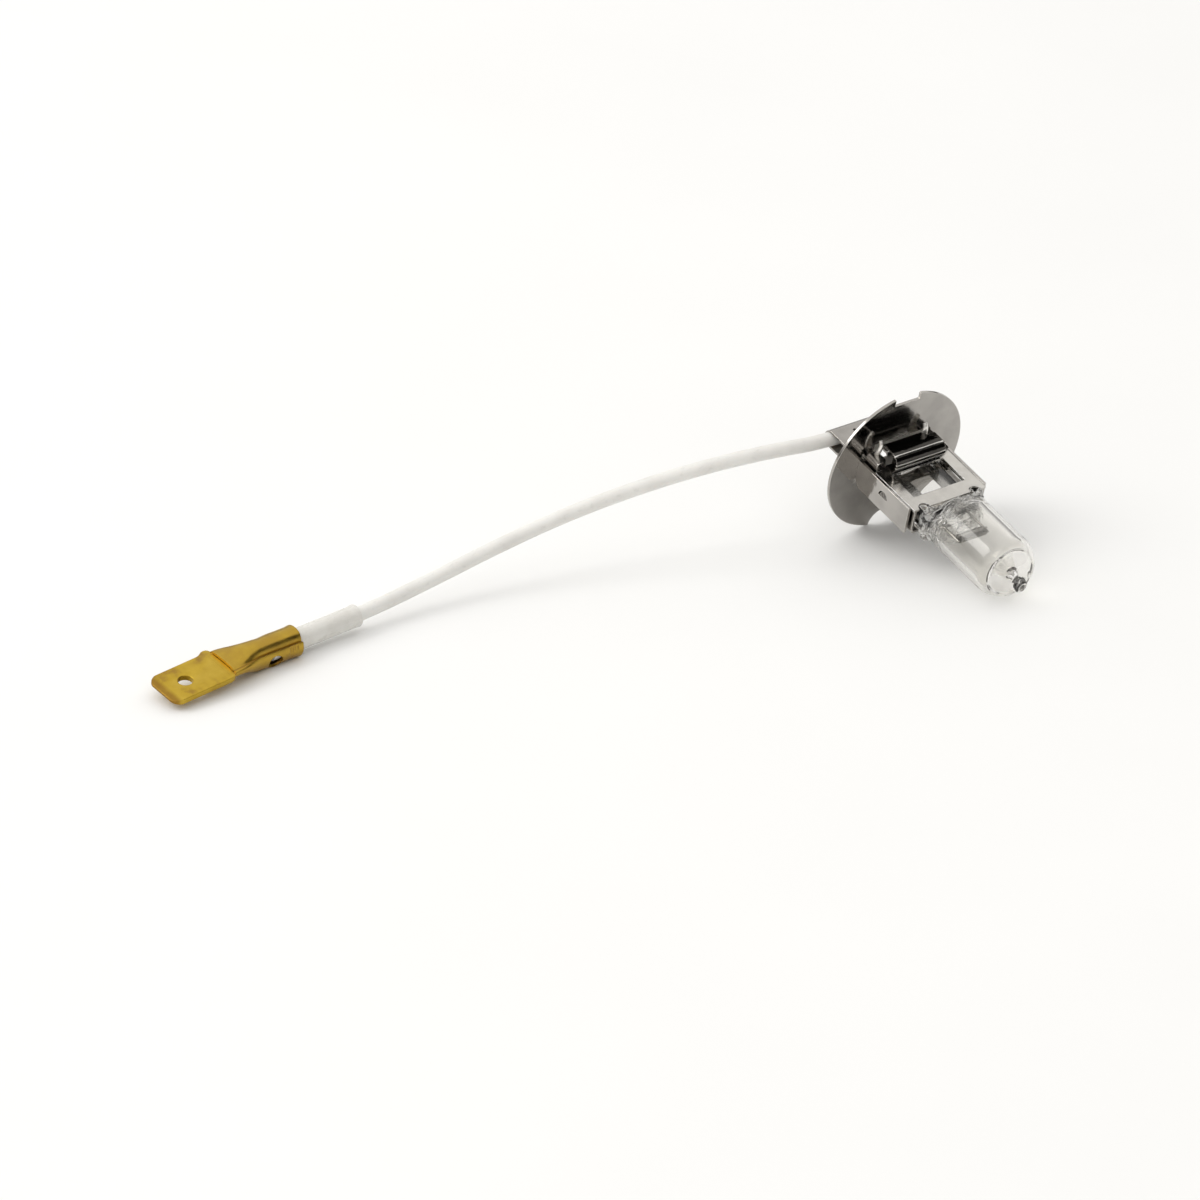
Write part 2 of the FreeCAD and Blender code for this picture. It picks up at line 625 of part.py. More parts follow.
# ---- Blade terminal, drawn along +X from the rear of its barrel, then laid on the surface ----
def blade_terminal():
    outer = BARREL_DIAMETER / 2
    barrel = rod(outer, (0, 0, 0), (BARREL_LENGTH, 0, 0))
    barrel = barrel.cut(rod(SLEEVE_DIAMETER / 2, (-1, 0, 0), (SLEEVE_HIDDEN, 0, 0)))
    barrel = barrel.cut(rod(CONDUCTOR_DIAMETER / 2, (0, 0, 0), (BARREL_LENGTH - 0.6, 0, 0)))
    seam = box(SLEEVE_HIDDEN, BARREL_LENGTH + 1, 0.35, 0.35 + SEAM_WIDTH, outer - 0.35, outer + 1)
    notch_side = outer + CRIMP_NOTCH_RADIUS - CRIMP_NOTCH_DEPTH
    notch_x = SLEEVE_HIDDEN - CRIMP_NOTCH_RADIUS / 2
    bite = rod(CRIMP_NOTCH_RADIUS, (notch_x, notch_side, -outer), (notch_x, notch_side, outer))
    barrel = barrel.cut(seam).cut(bite)
    root = BARREL_LENGTH - 0.4
    tip = BARREL_LENGTH + BLADE_LENGTH
    hole = tip - BLADE_HOLE_TO_TIP
    half = BLADE_WIDTH / 2
    top = -BLADE_DROP
    under = top - BLADE_THICKNESS
    neck = outer * 0.8
    lug = half + SHOULDER_LUG
    outline = [
        V(root, neck, under), V(BARREL_LENGTH + 1.0, half, under), V(tip - BLADE_TAPER, half, under),
        V(tip, half - BLADE_CHAMFER, under), V(tip, BLADE_CHAMFER - half, under),
        V(tip - BLADE_TAPER, -half, under), V(BARREL_LENGTH + 1.9, -half, under),
        V(BARREL_LENGTH + 1.7, -lug, under), V(BARREL_LENGTH + 0.7, -lug, under),
        V(root, -neck, under), V(root, neck, under),
    ]
    blade = Part.Face(Part.makePolygon(outline)).extrude(V(0, 0, BLADE_THICKNESS))
    for height, way in ((under, 1), (top, -1)):
        wedge = Part.makePolygon([
            V(tip - 1.0, 0, height), V(tip + 0.1, 0, height), V(tip + 0.1, 0, height + way * BLADE_BEVEL),
            V(tip - 1.0, 0, height),
        ])
        wedge = Part.Face(wedge).extrude(V(0, 2 * BLADE_WIDTH, 0))
        wedge.translate(V(0, -BLADE_WIDTH, 0))
        blade = blade.cut(wedge)
    blade = blade.cut(rod(BLADE_HOLE / 2, (hole, 0, -9), (hole, 0, 9)))
    return barrel.fuse(blade).removeSplitter()


def lay_terminal(shape):
    """Roll the terminal onto one edge of its blade and lay it along its line on the surface."""
    rear, along = terminal_axis()
    placed = shape.copy()
    placed.rotate(V(0, 0, 0), V(1, 0, 0), -BLADE_ROLL)
    placed.rotate(V(0, 0, 0), V(0, 0, 1), math.degrees(math.atan2(along.y, along.x)))
    placed.translate(rear)
    return placed


# ---- Build every node ----
left_wire = inner_wire()
left_outer = outer_wire()
left_foil = foil([left_wire, left_outer])
feeds = {
    "inner_wire_left": left_wire,
    "inner_wire_right": mirrored(left_wire),
    "seal_foil_left": left_foil,
    "seal_foil_right": mirrored(left_foil),
    "outer_wire_left": left_outer,
    "outer_wire_right": mirrored(left_outer),
}
contact = contact_strip()
ferrule = splice_ferrule()
lamp = {
    "glass_envelope": glass_envelope(feeds.values()),
    "filament_coil": filament_coil(),
    "flange_disc": flange_disc(),
    "yoke": yoke(),
    "cradle_body": cradle_body(),
    "cradle_top": cradle_top(),
    "pinch_clip": pinch_clip(),
    "seal_stop": seal_stop(),
    "contact_strip": contact,
    "earth_strip": earth_strip(),
    "rear_hood": rear_hood(),
    "insulator_block": insulator_block(ferrule, contact),
    "splice_ferrule": ferrule,
}
lamp.update(feeds)

path = lead_path()
stub_end = lamp_point(-HOOD_DEPTH, LEAD_START + FERRULE_LENGTH * 0.75, HOOD_RISE)
crimp_rear, crimp_way = terminal_axis()
conductor_end = crimp_rear + crimp_way * (BARREL_LENGTH - 0.6)
into_ferrule = Part.LineSegment(stub_end, path.Edges[0].Vertexes[0].Point).toShape()
into_crimp = Part.LineSegment(path.Edges[-1].Vertexes[-1].Point, conductor_end).toShape()
conductor_path = Part.Wire([into_ferrule] + path.Edges + [into_crimp])
sleeve_path = end_of_path(path, SLEEVE_SHOWN + SLEEVE_HIDDEN)
cord = {
    "lead_insulation": round_bar(path, LEAD_DIAMETER / 2).cut(round_bar(path, CONDUCTOR_DIAMETER / 2)),
    "lead_conductor": round_bar(conductor_path, CONDUCTOR_DIAMETER / 2),
    "end_sleeve": round_bar(sleeve_path, SLEEVE_DIAMETER / 2).cut(round_bar(sleeve_path, LEAD_DIAMETER / 2)),
    "blade_terminal": lay_terminal(blade_terminal()),
}

nodes = {name: lay_down(shape) for name, shape in lamp.items()}
nodes.update(cord)
for name, shape in nodes.items():
    shape.exportStep("parts/" + name + ".step")

print("tilt", round(math.degrees(TILT), 3), "lift", round(LIFT, 3), "middle", round(MIDDLE_X, 3))
print("lead length", round(path.Length, 2), "mm; arc radii",
      [round(radius, 1) for radius in lead_radii(lead_points())])
section = math.pi * (LEAD_DIAMETER ** 2 - CONDUCTOR_DIAMETER ** 2) / 4
print("insulation volume", round(nodes["lead_insulation"].Volume, 2), "section by length",
      round(section * path.Length, 2))
for name, shape in nodes.items():
    print(name, "solids", len(shape.Solids), "valid", shape.isValid(), "volume", round(shape.Volume, 3))
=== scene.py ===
"""Looks of the headlight bulb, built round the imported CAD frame. Lengths are metres unless a name says MM."""
import math

import bmesh
import bpy
from mathutils import Matrix, Vector, noise


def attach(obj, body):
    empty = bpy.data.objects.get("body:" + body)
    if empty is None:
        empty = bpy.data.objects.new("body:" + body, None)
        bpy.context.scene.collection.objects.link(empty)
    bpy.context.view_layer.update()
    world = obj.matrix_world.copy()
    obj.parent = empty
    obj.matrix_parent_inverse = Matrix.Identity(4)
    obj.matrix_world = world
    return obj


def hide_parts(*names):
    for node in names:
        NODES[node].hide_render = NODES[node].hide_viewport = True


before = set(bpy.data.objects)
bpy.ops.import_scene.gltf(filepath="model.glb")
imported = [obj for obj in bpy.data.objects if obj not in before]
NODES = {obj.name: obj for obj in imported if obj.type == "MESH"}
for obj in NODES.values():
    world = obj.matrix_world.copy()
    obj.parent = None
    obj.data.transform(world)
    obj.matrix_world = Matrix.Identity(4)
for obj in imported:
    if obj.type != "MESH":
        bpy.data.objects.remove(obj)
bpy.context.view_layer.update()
MM = 0.001

# ---- The lamp's own frame: x along the glass, z towards the square notch, from the flange's front face ----
FLANGE_R, ROUND_NOTCH_R = 11.0, 2.4
GLASS_R, DOME_CENTRE, PIP_END = 4.55, 23.7, 29.2
HOOD_DEPTH, HOOD_RISE, HOOD_OUTER = 4.4, 2.97, 1.3
REST_DROP = FLANGE_R - ROUND_NOTCH_R ** 2 / (2 * FLANGE_R)
TILT = math.atan2(REST_DROP, DOME_CENTRE) - math.asin(GLASS_R / math.hypot(REST_DROP, DOME_CENTRE))
LIFT = REST_DROP * math.cos(TILT)
REAR_X = -HOOD_DEPTH * math.cos(TILT) + HOOD_RISE * math.sin(TILT) - HOOD_OUTER
MIDDLE_X = (REAR_X + PIP_END * math.cos(TILT)) / 2


def lamp(x, y, z):
    """A point of the lamp's own frame in millimetres, as a point of the row frame in metres."""
    across = x * math.cos(TILT) + z * math.sin(TILT) - MIDDLE_X
    height = z * math.cos(TILT) - x * math.sin(TILT) + LIFT
    return Vector((across, y, height)) * MM


# ---- Camera ----
CAMERA_AZIMUTH, CAMERA_ELEVATION, CAMERA_ROLL = 54.11, 28.21, 0.145
CAMERA_TARGET = Vector((-28.24, -37.19, -6.78)) * MM
CAMERA_DISTANCE = 0.9212
CAMERA_LENS, SENSOR = 204.4, 36.0


def add_camera():
    azimuth, elevation = math.radians(CAMERA_AZIMUTH), math.radians(CAMERA_ELEVATION)
    back = Vector((math.sin(azimuth) * math.cos(elevation), -math.cos(azimuth) * math.cos(elevation),
                   math.sin(elevation)))
    data = bpy.data.cameras.new("camera")
    data.lens, data.sensor_width = CAMERA_LENS, SENSOR
    data.clip_start, data.clip_end = 0.01, 10.0
    camera = bpy.data.objects.new("camera", data)
    turn = back.to_track_quat("Z", "Y").to_matrix().to_4x4()
    roll = Matrix.Rotation(math.radians(CAMERA_ROLL), 4, "Z")
    camera.matrix_world = Matrix.Translation(CAMERA_TARGET + back * CAMERA_DISTANCE) @ turn @ roll
    bpy.context.collection.objects.link(camera)
    bpy.context.scene.camera = camera


add_camera()

# ---- Lead: its route's points, lamp frame for the hood's end and row frame beyond it ----
LEAD_RADIUS = 1.0 * MM
CONDUCTOR_RADIUS = 0.55 * MM
HOOD_LEFT, LEAD_START = -8.4, -3.6
BARREL_HEIGHT = 2.0
LEAD_ROUTE = [
    (-5.7, -16.9, 14.25),
    (-9.2, -25.6, 12.95),
    (-12.6, -34.1, 10.95),
    (-15.5, -43.0, 8.65),
    (-17.7, -52.6, 5.95),
    (-18.75, -63.6, 3.3),
]
SLEEVE_BEND, SLEEVE_HIDDEN, SLEEVE_SHOWN = 9.4, 4.6, 9.9
crimp_rear = Vector((-17.5 - MIDDLE_X, -85.6, BARREL_HEIGHT)) * MM
crimp_way = (Vector((-16.0 - MIDDLE_X, -107.4, BARREL_HEIGHT)) * MM - crimp_rear).normalized()


def lead_points():
    points = [lamp(-HOOD_DEPTH, LEAD_START, HOOD_RISE), lamp(-HOOD_DEPTH, HOOD_LEFT - 1.2, HOOD_RISE)]
    points += [Vector((x - MIDDLE_X, y, z)) * MM for x, y, z in LEAD_ROUTE]
    points.append(crimp_rear - crimp_way * SLEEVE_BEND * MM)
    points.append(crimp_rear + crimp_way * SLEEVE_HIDDEN * MM)
    return points


def cord_curve(name, points, radius):
    data = bpy.data.curves.new(name, "CURVE")
    data.dimensions = "3D"
    spline = data.splines.new("NURBS")
    spline.points.add(len(points) - 1)
    for point, place in zip(spline.points, points):
        point.co = (*place, 1.0)
    spline.order_u = 3
    spline.use_endpoint_u = True
    data.resolution_u = 24
    data.bevel_depth = radius
    data.bevel_resolution = 10
    data.use_fill_caps = radius > 0
    piece = bpy.data.objects.new(name, data)
    bpy.context.collection.objects.link(piece)
    return piece


def curve_line(points):
    """Points along the route's smooth line, close together."""
    guide = cord_curve("guide", points, 0.0)
    bpy.context.view_layer.update()
    mesh = bpy.data.meshes.new_from_object(guide)
    line = [vertex.co.copy() for vertex in mesh.vertices]
    bpy.data.objects.remove(guide)
    return line


lead = cord_curve("lead", lead_points(), LEAD_RADIUS)
conductor = cord_curve("conductor", lead_points(), CONDUCTOR_RADIUS)
lead_line = curve_line(lead_points())

# ---- Mesh helpers ----


def piece_from(name, verts, faces):
    mesh = bpy.data.meshes.new(name)
    mesh.from_pydata([tuple(v) for v in verts], [], faces)
    solid = bmesh.new()
    solid.from_mesh(mesh)
    bmesh.ops.recalc_face_normals(solid, faces=solid.faces)
    solid.to_mesh(mesh)
    solid.free()
    for face in mesh.polygons:
        face.use_smooth = True
    piece = bpy.data.objects.new(name, mesh)
    bpy.context.collection.objects.link(piece)
    return piece


def loft_faces(count, size):
    """Quads between count closed rings of size points each."""
    faces = []
    for i in range(count - 1):
        for j in range(size):
            a, b = i * size + j, i * size + (j + 1) % size
            faces.append((a, b, b + size, a + size))
    return faces


def capped_loft(rings):
    """Vertices and faces of a solid through rings of equal size, closed at both ends."""
    size = len(rings[0])
    verts = [point for ring in rings for point in ring]
    faces = loft_faces(len(rings), size)
    faces += [tuple(reversed(range(size))), tuple(range(len(verts) - size, len(verts)))]
    return verts, faces


def frames_along(line):
    """A point and two cross directions at each point of a line, without twist."""
    result = []
    side = None
    for index, point in enumerate(line):
        before = line[max(index - 1, 0)]
        after = line[min(index + 1, len(line) - 1)]
        way = (after - before).normalized()
        if side is None:
            side = way.cross(Vector((0, 0, 1))).normalized()
        side = (side - way * side.dot(way)).normalized()
        result.append((point, side, way.cross(side)))
    return result


# ---- Material helpers ----


class Look:
    """A material with one Principled shader, and the nodes that drive it."""

    def __init__(self, name, color, roughness, metallic=0.0, ior=1.5):
        self.material = bpy.data.materials.new(name)
        self.material.use_nodes = True
        self.tree = self.material.node_tree
        self.shader = self.tree.nodes["Principled BSDF"]
        self.output = self.tree.nodes["Material Output"]
        self.place = self.tree.nodes.new("ShaderNodeTexCoord").outputs["Object"]
        self.set("Base Color", (*color, 1.0))
        self.set("Roughness", roughness)
        self.set("Metallic", metallic)
        self.set("IOR", ior)
        self.normal = None

    def set(self, socket, value):
        self.shader.inputs[socket].default_value = value

    def node(self, kind, **values):
        node = self.tree.nodes.new(kind)
        for key, value in values.items():
            if key in node.inputs:
                node.inputs[key].default_value = value
            else:
                setattr(node, key, value)
        return node

    def link(self, source, target):
        self.tree.links.new(source, target)

    def noise(self, cell_mm, detail=3.0, stretch=(1, 1, 1)):
        """Noise whose features are about cell_mm across, shorter along a stretched axis."""
        mapping = self.node("ShaderNodeMapping")
        mapping.inputs["Scale"].default_value = [value / (cell_mm * MM) for value in stretch]
        self.link(self.place, mapping.inputs["Vector"])
        texture = self.node("ShaderNodeTexNoise", Scale=1.0, Detail=detail, Roughness=0.55)
        self.link(mapping.outputs["Vector"], texture.inputs["Vector"])
        return texture.outputs["Fac"]

    def along(self, way):
        """Distance in metres of the shaded point from the origin, along one direction."""
        dot = self.node("ShaderNodeVectorMath", operation="DOT_PRODUCT")
        self.link(self.place, dot.inputs[0])
        dot.inputs[1].default_value = way
        return dot.outputs["Value"]

    def times(self, one, other):
        node = self.node("ShaderNodeMath", operation="MULTIPLY")
        self.link(one, node.inputs[0])
        self.link(other, node.inputs[1])
        return node.outputs["Value"]

    def ramp(self, factor, stops):
        ramp = self.node("ShaderNodeValToRGB")
        elements = ramp.color_ramp.elements
        while len(elements) < len(stops):
            elements.new(0.5)
        for element, (position, color) in zip(elements, stops):
            element.position = position
            element.color = (*color, 1.0)
        self.link(factor, ramp.inputs["Fac"])
        return ramp.outputs["Color"]

    def span(self, factor, low, high, start=0.3, end=0.7):
        node = self.node("ShaderNodeMapRange")
        for key, value in (("From Min", start), ("From Max", end), ("To Min", low), ("To Max", high)):
            node.inputs[key].default_value = value
        self.link(factor, node.inputs["Value"])
        return node.outputs["Result"]

    def mix(self, factor, one, other):
        node = self.node("ShaderNodeMix", data_type="RGBA")
        self.link(factor, node.inputs[0])
        for socket, value in ((node.inputs[6], one), (node.inputs[7], other)):
            if isinstance(value, tuple):
                socket.default_value = (*value, 1.0)
            else:
                self.link(value, socket)
        return node.outputs[2]

    def color(self, source):
        self.link(source, self.shader.inputs["Base Color"])

    def roughness(self, source):
        self.link(source, self.shader.inputs["Roughness"])

    def bump(self, factor, depth_mm):
        node = self.node("ShaderNodeBump", Strength=1.0, Distance=depth_mm * MM)
        self.link(factor, node.inputs["Height"])
        if self.normal is not None:
            self.link(self.normal, node.inputs["Normal"])
        self.normal = node.outputs["Normal"]
        self.link(self.normal, self.shader.inputs["Normal"])

    def soft_edges(self, radius_mm):
        """Rounds the shading of sharp edges. It comes before any bump."""
        node = self.node("ShaderNodeBevel", samples=6, Radius=radius_mm * MM)
        self.normal = node.outputs["Normal"]
        self.link(self.normal, self.shader.inputs["Normal"])

    def edge_mask(self, radius_mm):
        """1 along sharp edges and 0 on flat faces."""
        bevel = self.node("ShaderNodeBevel", samples=6, Radius=radius_mm * MM)
        surface = self.node("ShaderNodeNewGeometry")
        dot = self.node("ShaderNodeVectorMath", operation="DOT_PRODUCT")
        self.link(bevel.outputs["Normal"], dot.inputs[0])
        self.link(surface.outputs["Normal"], dot.inputs[1])
        return self.span(dot.outputs["Value"], 1.0, 0.0, 0.75, 0.99)


def nickel(name, tint, rough_low, rough_high, wave, edge=1.75, dents=0.0):
    """Nickel-plated steel, with painted highlights along its sharp edges, brighter there by the factor edge.
    wave and dents are depths in mm.
    """
    look = Look(name, tint, rough_low, metallic=1.0)
    look.soft_edges(0.10)
    cloud = look.noise(3.5, 4.0)
    dark = tuple(0.86 * value for value in tint)
    base = look.ramp(cloud, [(0.35, dark), (0.6, tint)])
    edge_highlight = tuple(min(0.9, edge * value) for value in tint)
    # Sharp edges are painted brighter: a painted highlight where they catch the light.
    look.color(look.mix(look.edge_mask(0.13), base, edge_highlight))
    streak = look.noise(0.9, 5.0, (1, 0.12, 1))
    look.roughness(look.span(streak, rough_low, rough_high))
    look.bump(look.noise(4.2, 1.5), wave)
    look.bump(look.noise(0.9, 3.0), dents)
    look.bump(look.noise(0.35, 3.0, (1, 0.1, 1)), 0.0006)
    return look.material


def assign(piece, material):
    piece.data.materials.clear()
    piece.data.materials.append(material)


NICKEL = (0.45, 0.43, 0.405)
flange_nickel = nickel("flange_nickel", NICKEL, 0.10, 0.17, 0.05)
body_nickel = nickel("body_nickel", NICKEL, 0.12, 0.22, 0.02)
# The spring clip's nickel is painted near black as painted shade for its dark reflections and shadow, and its
# edges nine times brighter as painted highlights.
spring_nickel_painted_shade = nickel("spring_nickel_painted_shade", (0.065, 0.061, 0.056), 0.08, 0.16, 0.05, 9.0, 0.03)
yoke_nickel = nickel("yoke_nickel", NICKEL, 0.06, 0.12, 0.16, 1.75, 0.02)
# The frame's nickel is a lighter copy of the same plating: painted light for its bright tops.
frame_nickel_painted_light = nickel("frame_nickel_painted_light", (0.58, 0.56, 0.525), 0.10, 0.18, 0.02)
# The hood's nickel is a darker copy of the same plating: painted shade on its top.
hood_nickel_painted_shade = nickel("hood_nickel_painted_shade", (0.38, 0.362, 0.34), 0.12, 0.2, 0.04)
# The prongs' nickel is a much lighter copy of the same plating: painted highlights.
prong_nickel_painted_highlight = nickel("prong_nickel_painted_highlight", (0.80, 0.78, 0.74), 0.22, 0.34, 0.04)
strip_steel = nickel("strip_steel", (0.50, 0.48, 0.46), 0.25, 0.4, 0.01)


LAMP_WAY = Vector((math.cos(TILT), 0, -math.sin(TILT)))
LAMP_ZERO = lamp(0, 0, 0).dot(LAMP_WAY)
PRESSED_FROM, PRESSED_TO = (11.9, 12.3), (13.9, 15.2)
BLACK, WHITE = (0, 0, 0), (1, 1, 1)


def clear_glass(name, tint, wave_mm, cell_mm, creases_mm):
    """Clear quartz with press marks at its shoulder, where painted dark crease lines and painted whitish
    streaks of light lie in it. Light passes through it, so that its shadow is soft.
    """
    look = Look(name, tint, 0.0, ior=1.46)
    look.set("Transmission Weight", 1.0)
    look.bump(look.noise(cell_mm, 1.0), wave_mm)
    place = look.along(LAMP_WAY)
    starts = look.span(place, 0.0, 1.0, *[LAMP_ZERO + x * MM for x in PRESSED_FROM])
    ends = look.span(place, 1.0, 0.0, *[LAMP_ZERO + x * MM for x in PRESSED_TO])
    zone = look.times(starts, ends)
    marks = look.noise(0.75, 3.0, (1.5, 0.5, 1.2))
    look.bump(look.times(marks, zone), creases_mm)
    # Streaks at the shoulder let less light through and look whitish: painted light.
    painted_light_streaks = look.times(zone, look.span(look.noise(1.1, 2.5, (2.2, 0.28, 1.0)), 0.0, 1.0, 0.44, 0.58))
    look.link(look.span(painted_light_streaks, 1.0, 0.5, 0.0, 1.0), look.shader.inputs["Transmission Weight"])
    # Dark lines painted into the shoulder's colour: painted shade for the creases.
    shade_line_noise = look.noise(1.4, 2.5, (2.2, 0.32, 1.1))
    painted_crease_shade = look.ramp(shade_line_noise, [(0.455, BLACK), (0.49, WHITE), (0.525, BLACK)])
    look.color(look.mix(look.times(painted_crease_shade, zone), tint, (0.10, 0.095, 0.09)))
    through = look.node("ShaderNodeBsdfTransparent", Color=(0.93, 0.93, 0.92, 1.0))
    path = look.node("ShaderNodeLightPath")
    mixer = look.node("ShaderNodeMixShader")
    look.link(path.outputs["Is Shadow Ray"], mixer.inputs["Fac"])
    look.link(look.shader.outputs["BSDF"], mixer.inputs[1])
    look.link(through.outputs["BSDF"], mixer.inputs[2])
    look.link(mixer.outputs["Shader"], look.output.inputs["Surface"])
    return look.material


glass_look = clear_glass("quartz_glass", (0.915, 0.905, 0.88), 0.006, 3.2, 0.08)
tip_look = clear_glass("quartz_melted_tip", (0.86, 0.85, 0.83), 0.01, 0.8, 0.0)


def burnt_look():
    """The grey film that the burner leaves where the glass was drawn and sealed."""
    look = Look("burnt_film", (0.06, 0.056, 0.05), 0.25)
    grain = look.noise(0.3, 3.0)
    look.color(look.ramp(grain, [(0.4, (0.06, 0.056, 0.05)), (0.62, (0.26, 0.25, 0.235))]))
    look.roughness(look.span(grain, 0.2, 0.45))
    look.bump(grain, 0.01)
    return look.material


film_look = burnt_look()


def wire_look(name, tint, rough):
    look = Look(name, tint, rough, metallic=1.0)
    grain = look.noise(0.12, 4.0)
    look.color(look.ramp(grain, [(0.3, tuple(0.7 * v for v in tint)), (0.7, tint)]))
    look.roughness(look.span(grain, rough, rough + 0.15))
    look.bump(grain, 0.004)
    return look.material


tungsten = wire_look("tungsten", (0.36, 0.35, 0.335), 0.22)
molybdenum = wire_look("molybdenum", (0.52, 0.51, 0.49), 0.14)
tinned_copper = wire_look("tinned_copper", (0.74, 0.70, 0.66), 0.3)


def lead_cover_look():
    look = Look("lead_cover", (0.86, 0.85, 0.82), 0.38, ior=1.38)
    look.set("Subsurface Weight", 0.25)
    look.set("Subsurface Radius", (0.0012, 0.0011, 0.001))
    look.set("Subsurface Scale", 1.0)
    fleck = look.noise(0.55, 5.0, (1, 0.45, 1))
    cloud = look.noise(6.0, 2.0)
    base = look.ramp(cloud, [(0.35, (0.76, 0.745, 0.715)), (0.62, (0.83, 0.82, 0.79))])
    mask = look.span(fleck, 0.0, 0.35, 0.56, 0.72)
    look.color(look.mix(mask, base, (0.60, 0.585, 0.56)))
    look.roughness(look.span(fleck, 0.32, 0.5))
    look.bump(look.noise(0.8, 3.0, (1, 0.3, 1)), 0.02)
    return look.material


def sleeve_look():
    look = Look("sleeve_tubing", (0.88, 0.875, 0.85), 0.3, ior=1.42)
    look.set("Subsurface Weight", 0.3)
    look.set("Subsurface Radius", (0.001, 0.001, 0.001))
    look.set("Subsurface Scale", 1.0)
    cloud = look.noise(2.0, 3.0)
    look.color(look.ramp(cloud, [(0.35, (0.73, 0.71, 0.665)), (0.65, (0.78, 0.765, 0.72))]))
    look.roughness(look.span(look.noise(0.7, 3.0, (1, 0.3, 1)), 0.22, 0.34))
    look.bump(look.noise(2.4, 1.5), 0.006)
    return look.material


def ceramic_look():
    look = Look("ceramic", (0.80, 0.78, 0.72), 0.6)
    grain = look.noise(0.25, 5.0)
    look.color(look.ramp(grain, [(0.3, (0.68, 0.66, 0.60)), (0.7, (0.82, 0.80, 0.75))]))
    look.roughness(look.span(grain, 0.5, 0.75))
    look.bump(grain, 0.02)
    return look.material


def brass_look():
    look = Look("brass_sheet", (0.50, 0.33, 0.04), 0.3, metallic=1.0)
    look.soft_edges(0.09)
    cloud = look.noise(2.4, 5.0)
    stops = [(0.30, (0.34, 0.20, 0.035)), (0.46, (0.49, 0.325, 0.035)), (0.7, (0.56, 0.385, 0.05))]
    base = look.ramp(cloud, stops)
    # The barrel and the tip are painted darker than the blade by place: painted shade.
    zero = crimp_rear.dot(crimp_way)
    place = look.along(crimp_way)
    barrel = look.span(place, 1.0, 0.0, zero + 11.6 * MM, zero + 12.4 * MM)
    base = look.mix(look.times(barrel, look.span(cloud, 1.0, 0.35)), base, (0.42, 0.265, 0.045))
    tip = look.span(place, 0.0, 1.0, zero + 20.7 * MM, zero + 21.3 * MM)
    base = look.mix(look.times(tip, look.span(cloud, 0.95, 0.6)), base, (0.25, 0.125, 0.025))
    # Sharp edges are painted dark brown: painted shade.
    look.color(look.mix(look.edge_mask(0.16), base, (0.27, 0.145, 0.03)))
    look.roughness(look.span(look.noise(0.8, 5.0, (0.3, 1, 1)), 0.28, 0.44))
    look.bump(look.noise(2.2, 2.0), 0.03)
    look.bump(look.noise(0.25, 4.0, (1, 0.12, 1)), 0.003)
    return look.material


lead_cover = lead_cover_look()
sleeve_tubing = sleeve_look()
ceramic = ceramic_look()
brass = brass_look()

NODE_LOOKS = {
    "flange_disc": flange_nickel, "yoke": yoke_nickel, "cradle_body": body_nickel, "cradle_top": frame_nickel_painted_light,
    "rear_hood": hood_nickel_painted_shade, "pinch_clip": spring_nickel_painted_shade, "seal_stop": spring_nickel_painted_shade,
    "contact_strip": strip_steel, "earth_strip": strip_steel, "insulator_block": ceramic,
    "splice_ferrule": brass, "inner_wire_left": molybdenum, "inner_wire_right": molybdenum,
    "seal_foil_left": molybdenum, "seal_foil_right": molybdenum, "outer_wire_left": molybdenum,
    "outer_wire_right": molybdenum, "blade_terminal": brass,
}
for node_name, look in NODE_LOOKS.items():
    assign(NODES[node_name], look)

# ---- Glass ----
AROUND = 128
SEAL_REAR, SEAL_HALF_WIDTH, SEAL_HALF_CORE = 2.9, 5.1, 1.2
SHOULDER_START = 11.9
SHOULDER_STEPS = ((12.05, 12.45, 0.95), (12.6, 13.3, 0.75), (13.1, 14.0, 0.85), (13.8, 15.0, 0.80))
SEAL_POWER, CAVITY_POWER, ROUND_POWER = 7.0, 3.4, 2.0
CAVITY_START, CAVITY_END, BORE = 13.2, 15.3, 3.65
CAVITY_HALF_WIDTH, CAVITY_HALF_HEIGHT = 3.3, 0.35
DOME_FLARE, DOME_STEPS = 1.75, 22
FINE_STEP, PLAIN_STEP = 0.09, 0.6


def smooth(low, high, value):
    t = min(1.0, max(0.0, (value - low) / (high - low)))
    return t * t * (3 - 2 * t)


def bell(value, middle, spread):
    return math.exp(-((value - middle) / spread) ** 2)


def section(width, height, power, beads):
    """A ring, rounded rectangle (high power) to circle (power 2), with beads at its edges and a middle rib."""
    points = []
    for index in range(AROUND):
        angle = 2 * math.pi * index / AROUND
        c, s = math.cos(angle), math.sin(angle)
        y = width * math.copysign(abs(c) ** (2 / power), c)
        z = height * math.copysign(abs(s) ** (2 / power), s)
        edge = bell(abs(y), width - 0.75, 0.42)
        rib = bell(y, 0, 0.5)
        z *= 1 + beads * (0.38 * edge + 0.24 * rib)
        points.append((y, z))
    return points


def crease(x, y, z, depth, seed):
    """Press marks: creases that run across the shoulder."""
    spot = Vector((x * 1.5 + seed, y * 0.45, z * 0.9))
    ridge = 1 - 2 * abs(noise.noise(spot))
    fine = noise.noise(Vector((x * 2.6, y * 1.1 + seed, z * 2.0)))
    return depth * (0.6 * ridge + 0.6 * fine - 0.3)


def shoulder_height(x):
    """Half height of the glass from the flat seal, up a stepped shoulder, to the round tube."""
    height = SEAL_HALF_CORE
    for start, end, rise in SHOULDER_STEPS:
        height += rise * smooth(start, end, x)
    return height


